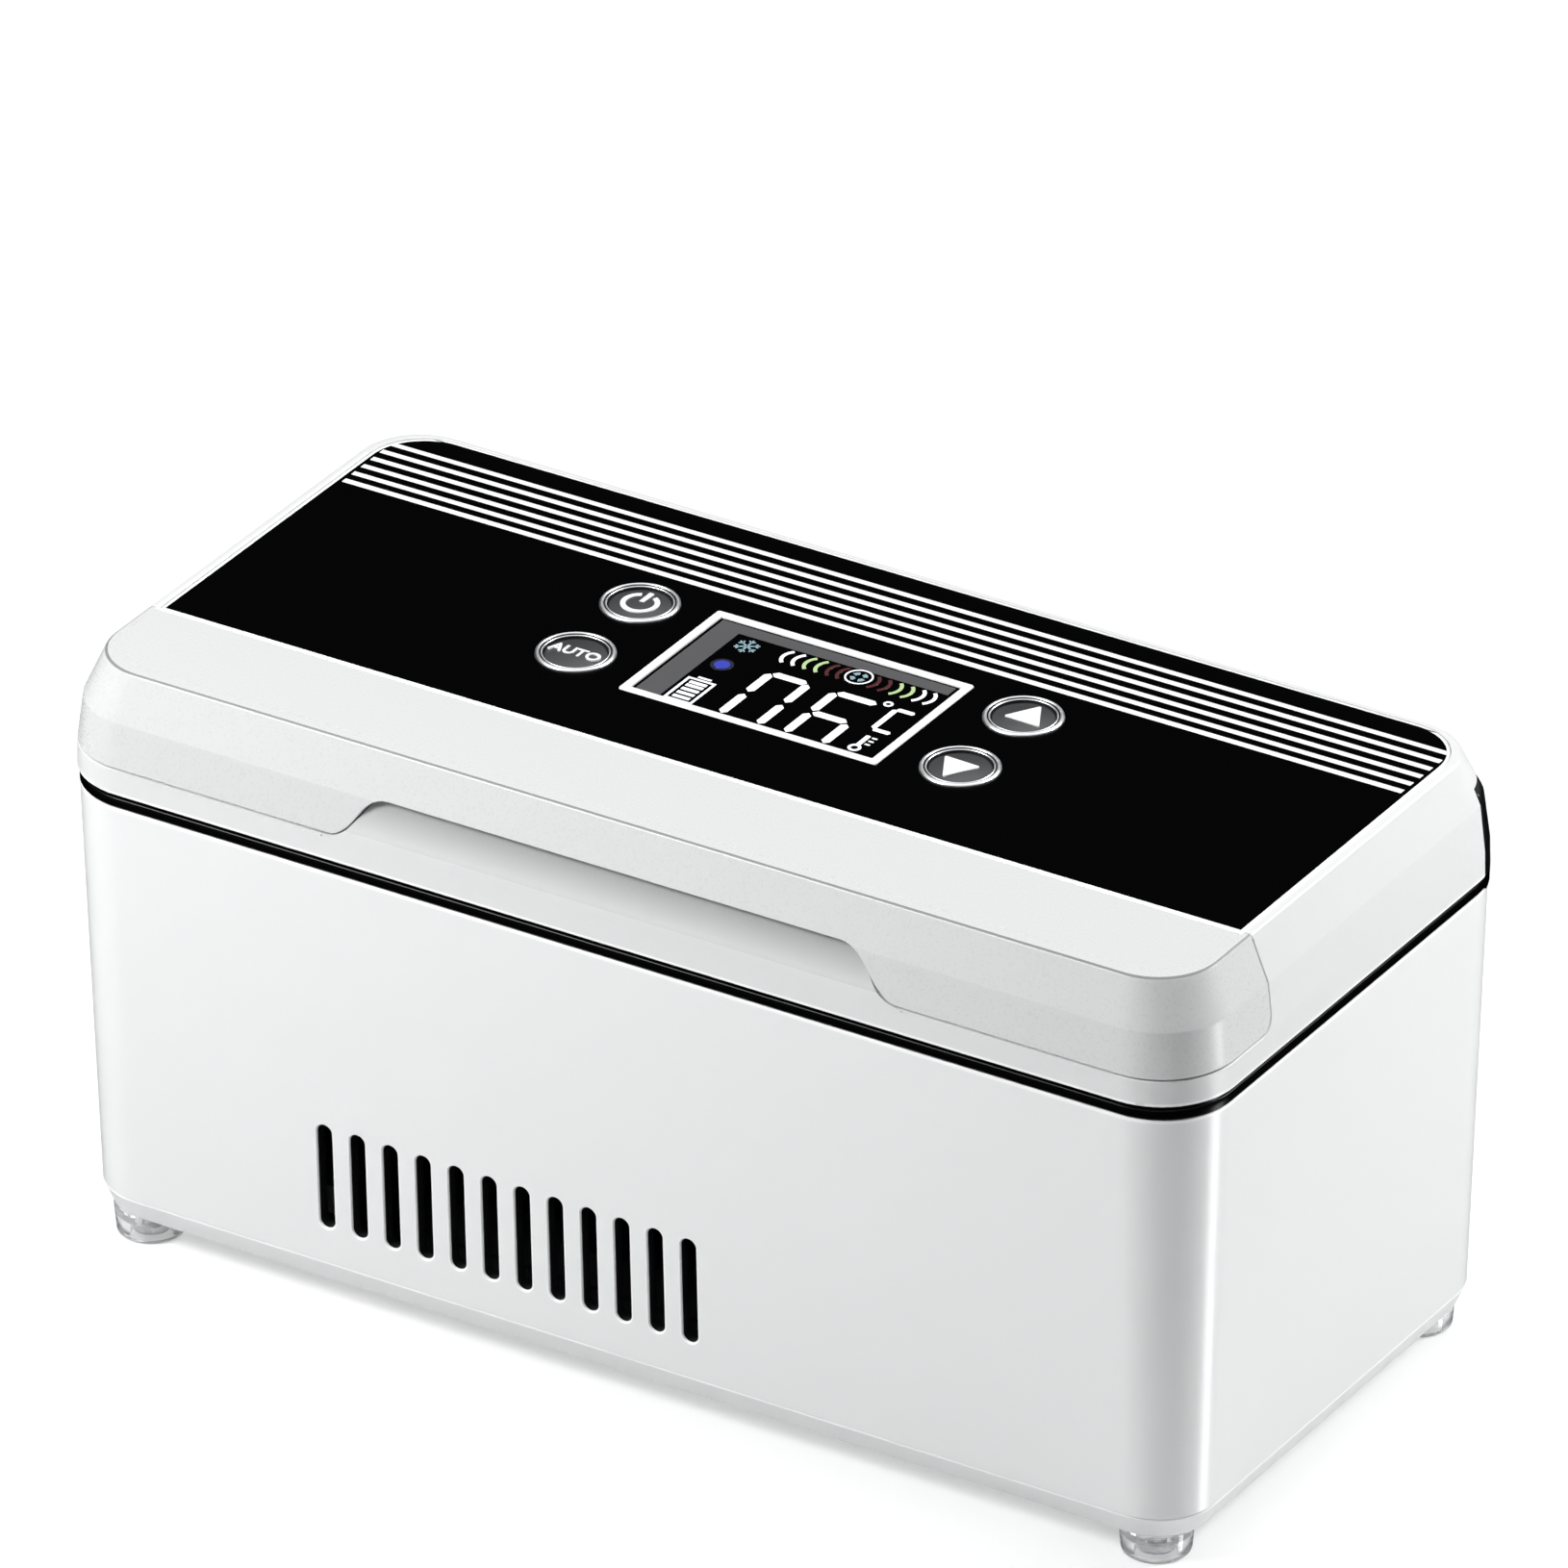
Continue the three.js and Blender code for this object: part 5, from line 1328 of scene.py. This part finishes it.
def toward(azimuth, elevation):
    """The way from the case to a place at these angles in degrees, counted from the front and the floor."""
    a, e = math.radians(azimuth), math.radians(elevation)
    return Vector((math.sin(a) * math.cos(e), -math.cos(a) * math.cos(e), math.sin(e)))


def place_camera():
    roll, distance = math.radians(-0.162), 3.0
    sensor, focal_pixels, photo_pixels = 36.0, 19883.3, 1630
    target = Vector((0.68, -0.016, 86.23 + DATUM)) * MM
    back = toward(31.897, 29.075)
    side = (-back).cross(Vector((0, 0, 1))).normalized()
    up = side.cross(-back)
    across = math.cos(roll) * side + math.sin(roll) * up
    upward = -math.sin(roll) * side + math.cos(roll) * up
    camera = bpy.data.objects.new("camera", bpy.data.cameras.new("camera"))
    bpy.context.scene.collection.objects.link(camera)
    turned_to = Matrix((across, upward, back)).transposed().to_4x4()
    camera.matrix_world = Matrix.Translation(target + back * distance) @ turned_to
    camera.data.sensor_width = sensor
    camera.data.lens = sensor * focal_pixels / photo_pixels
    camera.data.clip_start, camera.data.clip_end = 0.1, 100.0
    bpy.context.scene.camera = camera


def lamp(name, azimuth, elevation, distance, wide, tall, power, aim=(0.0, 0.0, 0.05)):
    """A soft lamp that shines on the case from that way."""
    data = bpy.data.lights.new(name, "AREA")
    data.shape, data.size, data.size_y, data.energy = "RECTANGLE", wide, tall, power
    back = toward(azimuth, elevation)
    light = bpy.data.objects.new(name, data)
    bpy.context.scene.collection.objects.link(light)
    facing = back.to_track_quat("Z", "Y").to_matrix().to_4x4()
    light.matrix_world = Matrix.Translation(Vector(aim) + back * distance) @ facing
    light.visible_camera = False


def reckon(tree, operation, *values):
    """The result of a Math node on values, each of which is a number or the socket that it comes from."""
    node = tree.nodes.new("ShaderNodeMath")
    node.operation = operation
    for socket, value in zip(node.inputs, values):
        if isinstance(value, float):
            socket.default_value = value
        else:
            tree.links.new(value, socket)
    return node.outputs["Value"]


def make_floor():
    """A white table. What the camera sees of it is lifted a little near the case, where its shadow stays, and
    more further off, past the reach of the lamps. Light and reflections from low down pass it."""
    let_go()
    bpy.ops.mesh.primitive_plane_add(size=8.0, location=(0, 0, 0))
    floor = bpy.context.object
    floor.name = floor.data.name = "studio_floor"
    edit(floor)
    bpy.ops.mesh.select_all(action="SELECT")
    bpy.ops.mesh.subdivide(number_cuts=3)
    let_go()
    white = (1.0, 1.0, 1.0, 1)
    paper = Finish("studio_paper", (0.62, 0.62, 0.625), 0.8, specular_ior_level=0.0, emission_color=white)
    paper.mottled(400, 0.01).uneven(60, 0.05).grained(2, 0.01)
    tree, rays = paper.made.node_tree, paper.nodes.new("ShaderNodeLightPath").outputs
    seen = reckon(tree, "MAXIMUM", rays["Is Camera Ray"], rays["Is Transmission Ray"])
    away = paper.nodes.new("ShaderNodeVectorMath")
    away.operation = "LENGTH"
    paper.links.new(paper.place, away.inputs[0])
    lift = paper.span(away.outputs["Value"], 0.40, 0.85, 0.35, 1.4)
    glow = reckon(tree, "MULTIPLY", seen, lift)
    paper.links.new(glow, paper.shader.inputs["Emission Strength"])
    give(floor, paper.made)
    floor.visible_glossy = floor.visible_shadow = False


def light_room():
    """Soft even light, a white background for the camera, and a brighter sky for gloss that faces up."""
    world = bpy.data.worlds.new("studio")
    bpy.context.scene.world = world
    world.use_nodes = True
    tree = world.node_tree
    nodes, links, ground = tree.nodes, tree.links, tree.nodes["Background"]
    ground.inputs["Color"].default_value = (0.98, 0.99, 1.0, 1)
    rays, way = nodes.new("ShaderNodeLightPath").outputs, nodes.new("ShaderNodeTexCoord")
    upward, above = nodes.new("ShaderNodeSeparateXYZ"), nodes.new("ShaderNodeMapRange")
    links.new(way.outputs["Generated"], upward.inputs["Vector"])
    links.new(upward.outputs["Z"], above.inputs["Value"])
    set_span(above, 0.3, 0.7, -0.3, 0.5)
    for_camera = reckon(tree, "MULTIPLY_ADD", rays["Is Camera Ray"], 0.74, 0.26)
    for_glass = reckon(tree, "MULTIPLY_ADD", rays["Is Transmission Ray"], 0.5, for_camera)
    for_gloss = reckon(tree, "MULTIPLY_ADD", rays["Is Glossy Ray"], above.outputs["Result"], for_glass)
    links.new(for_gloss, ground.inputs["Strength"])
    lamp("front_lamp", -34, 40, 0.75, 0.27, 0.27, 5.9, aim=(-0.08, 0.0, 0.05))
    lamp("side_lamp", 132, 36, 0.7, 0.22, 0.22, 4.3, aim=(0.04, 0.03, 0.05))
    lamp("strip_lamp", 112, -26, 1.5, 0.35, 0.7, 6)
    lamp("top_lamp", 20, 84, 1.6, 1.0, 1.0, 1.0)
    lamp("back_lamp", 190, 58, 1.6, 1.0, 1.0, 3.2)


place_camera()
make_floor()
light_room()
bpy.context.scene.view_settings.view_transform = "Standard"
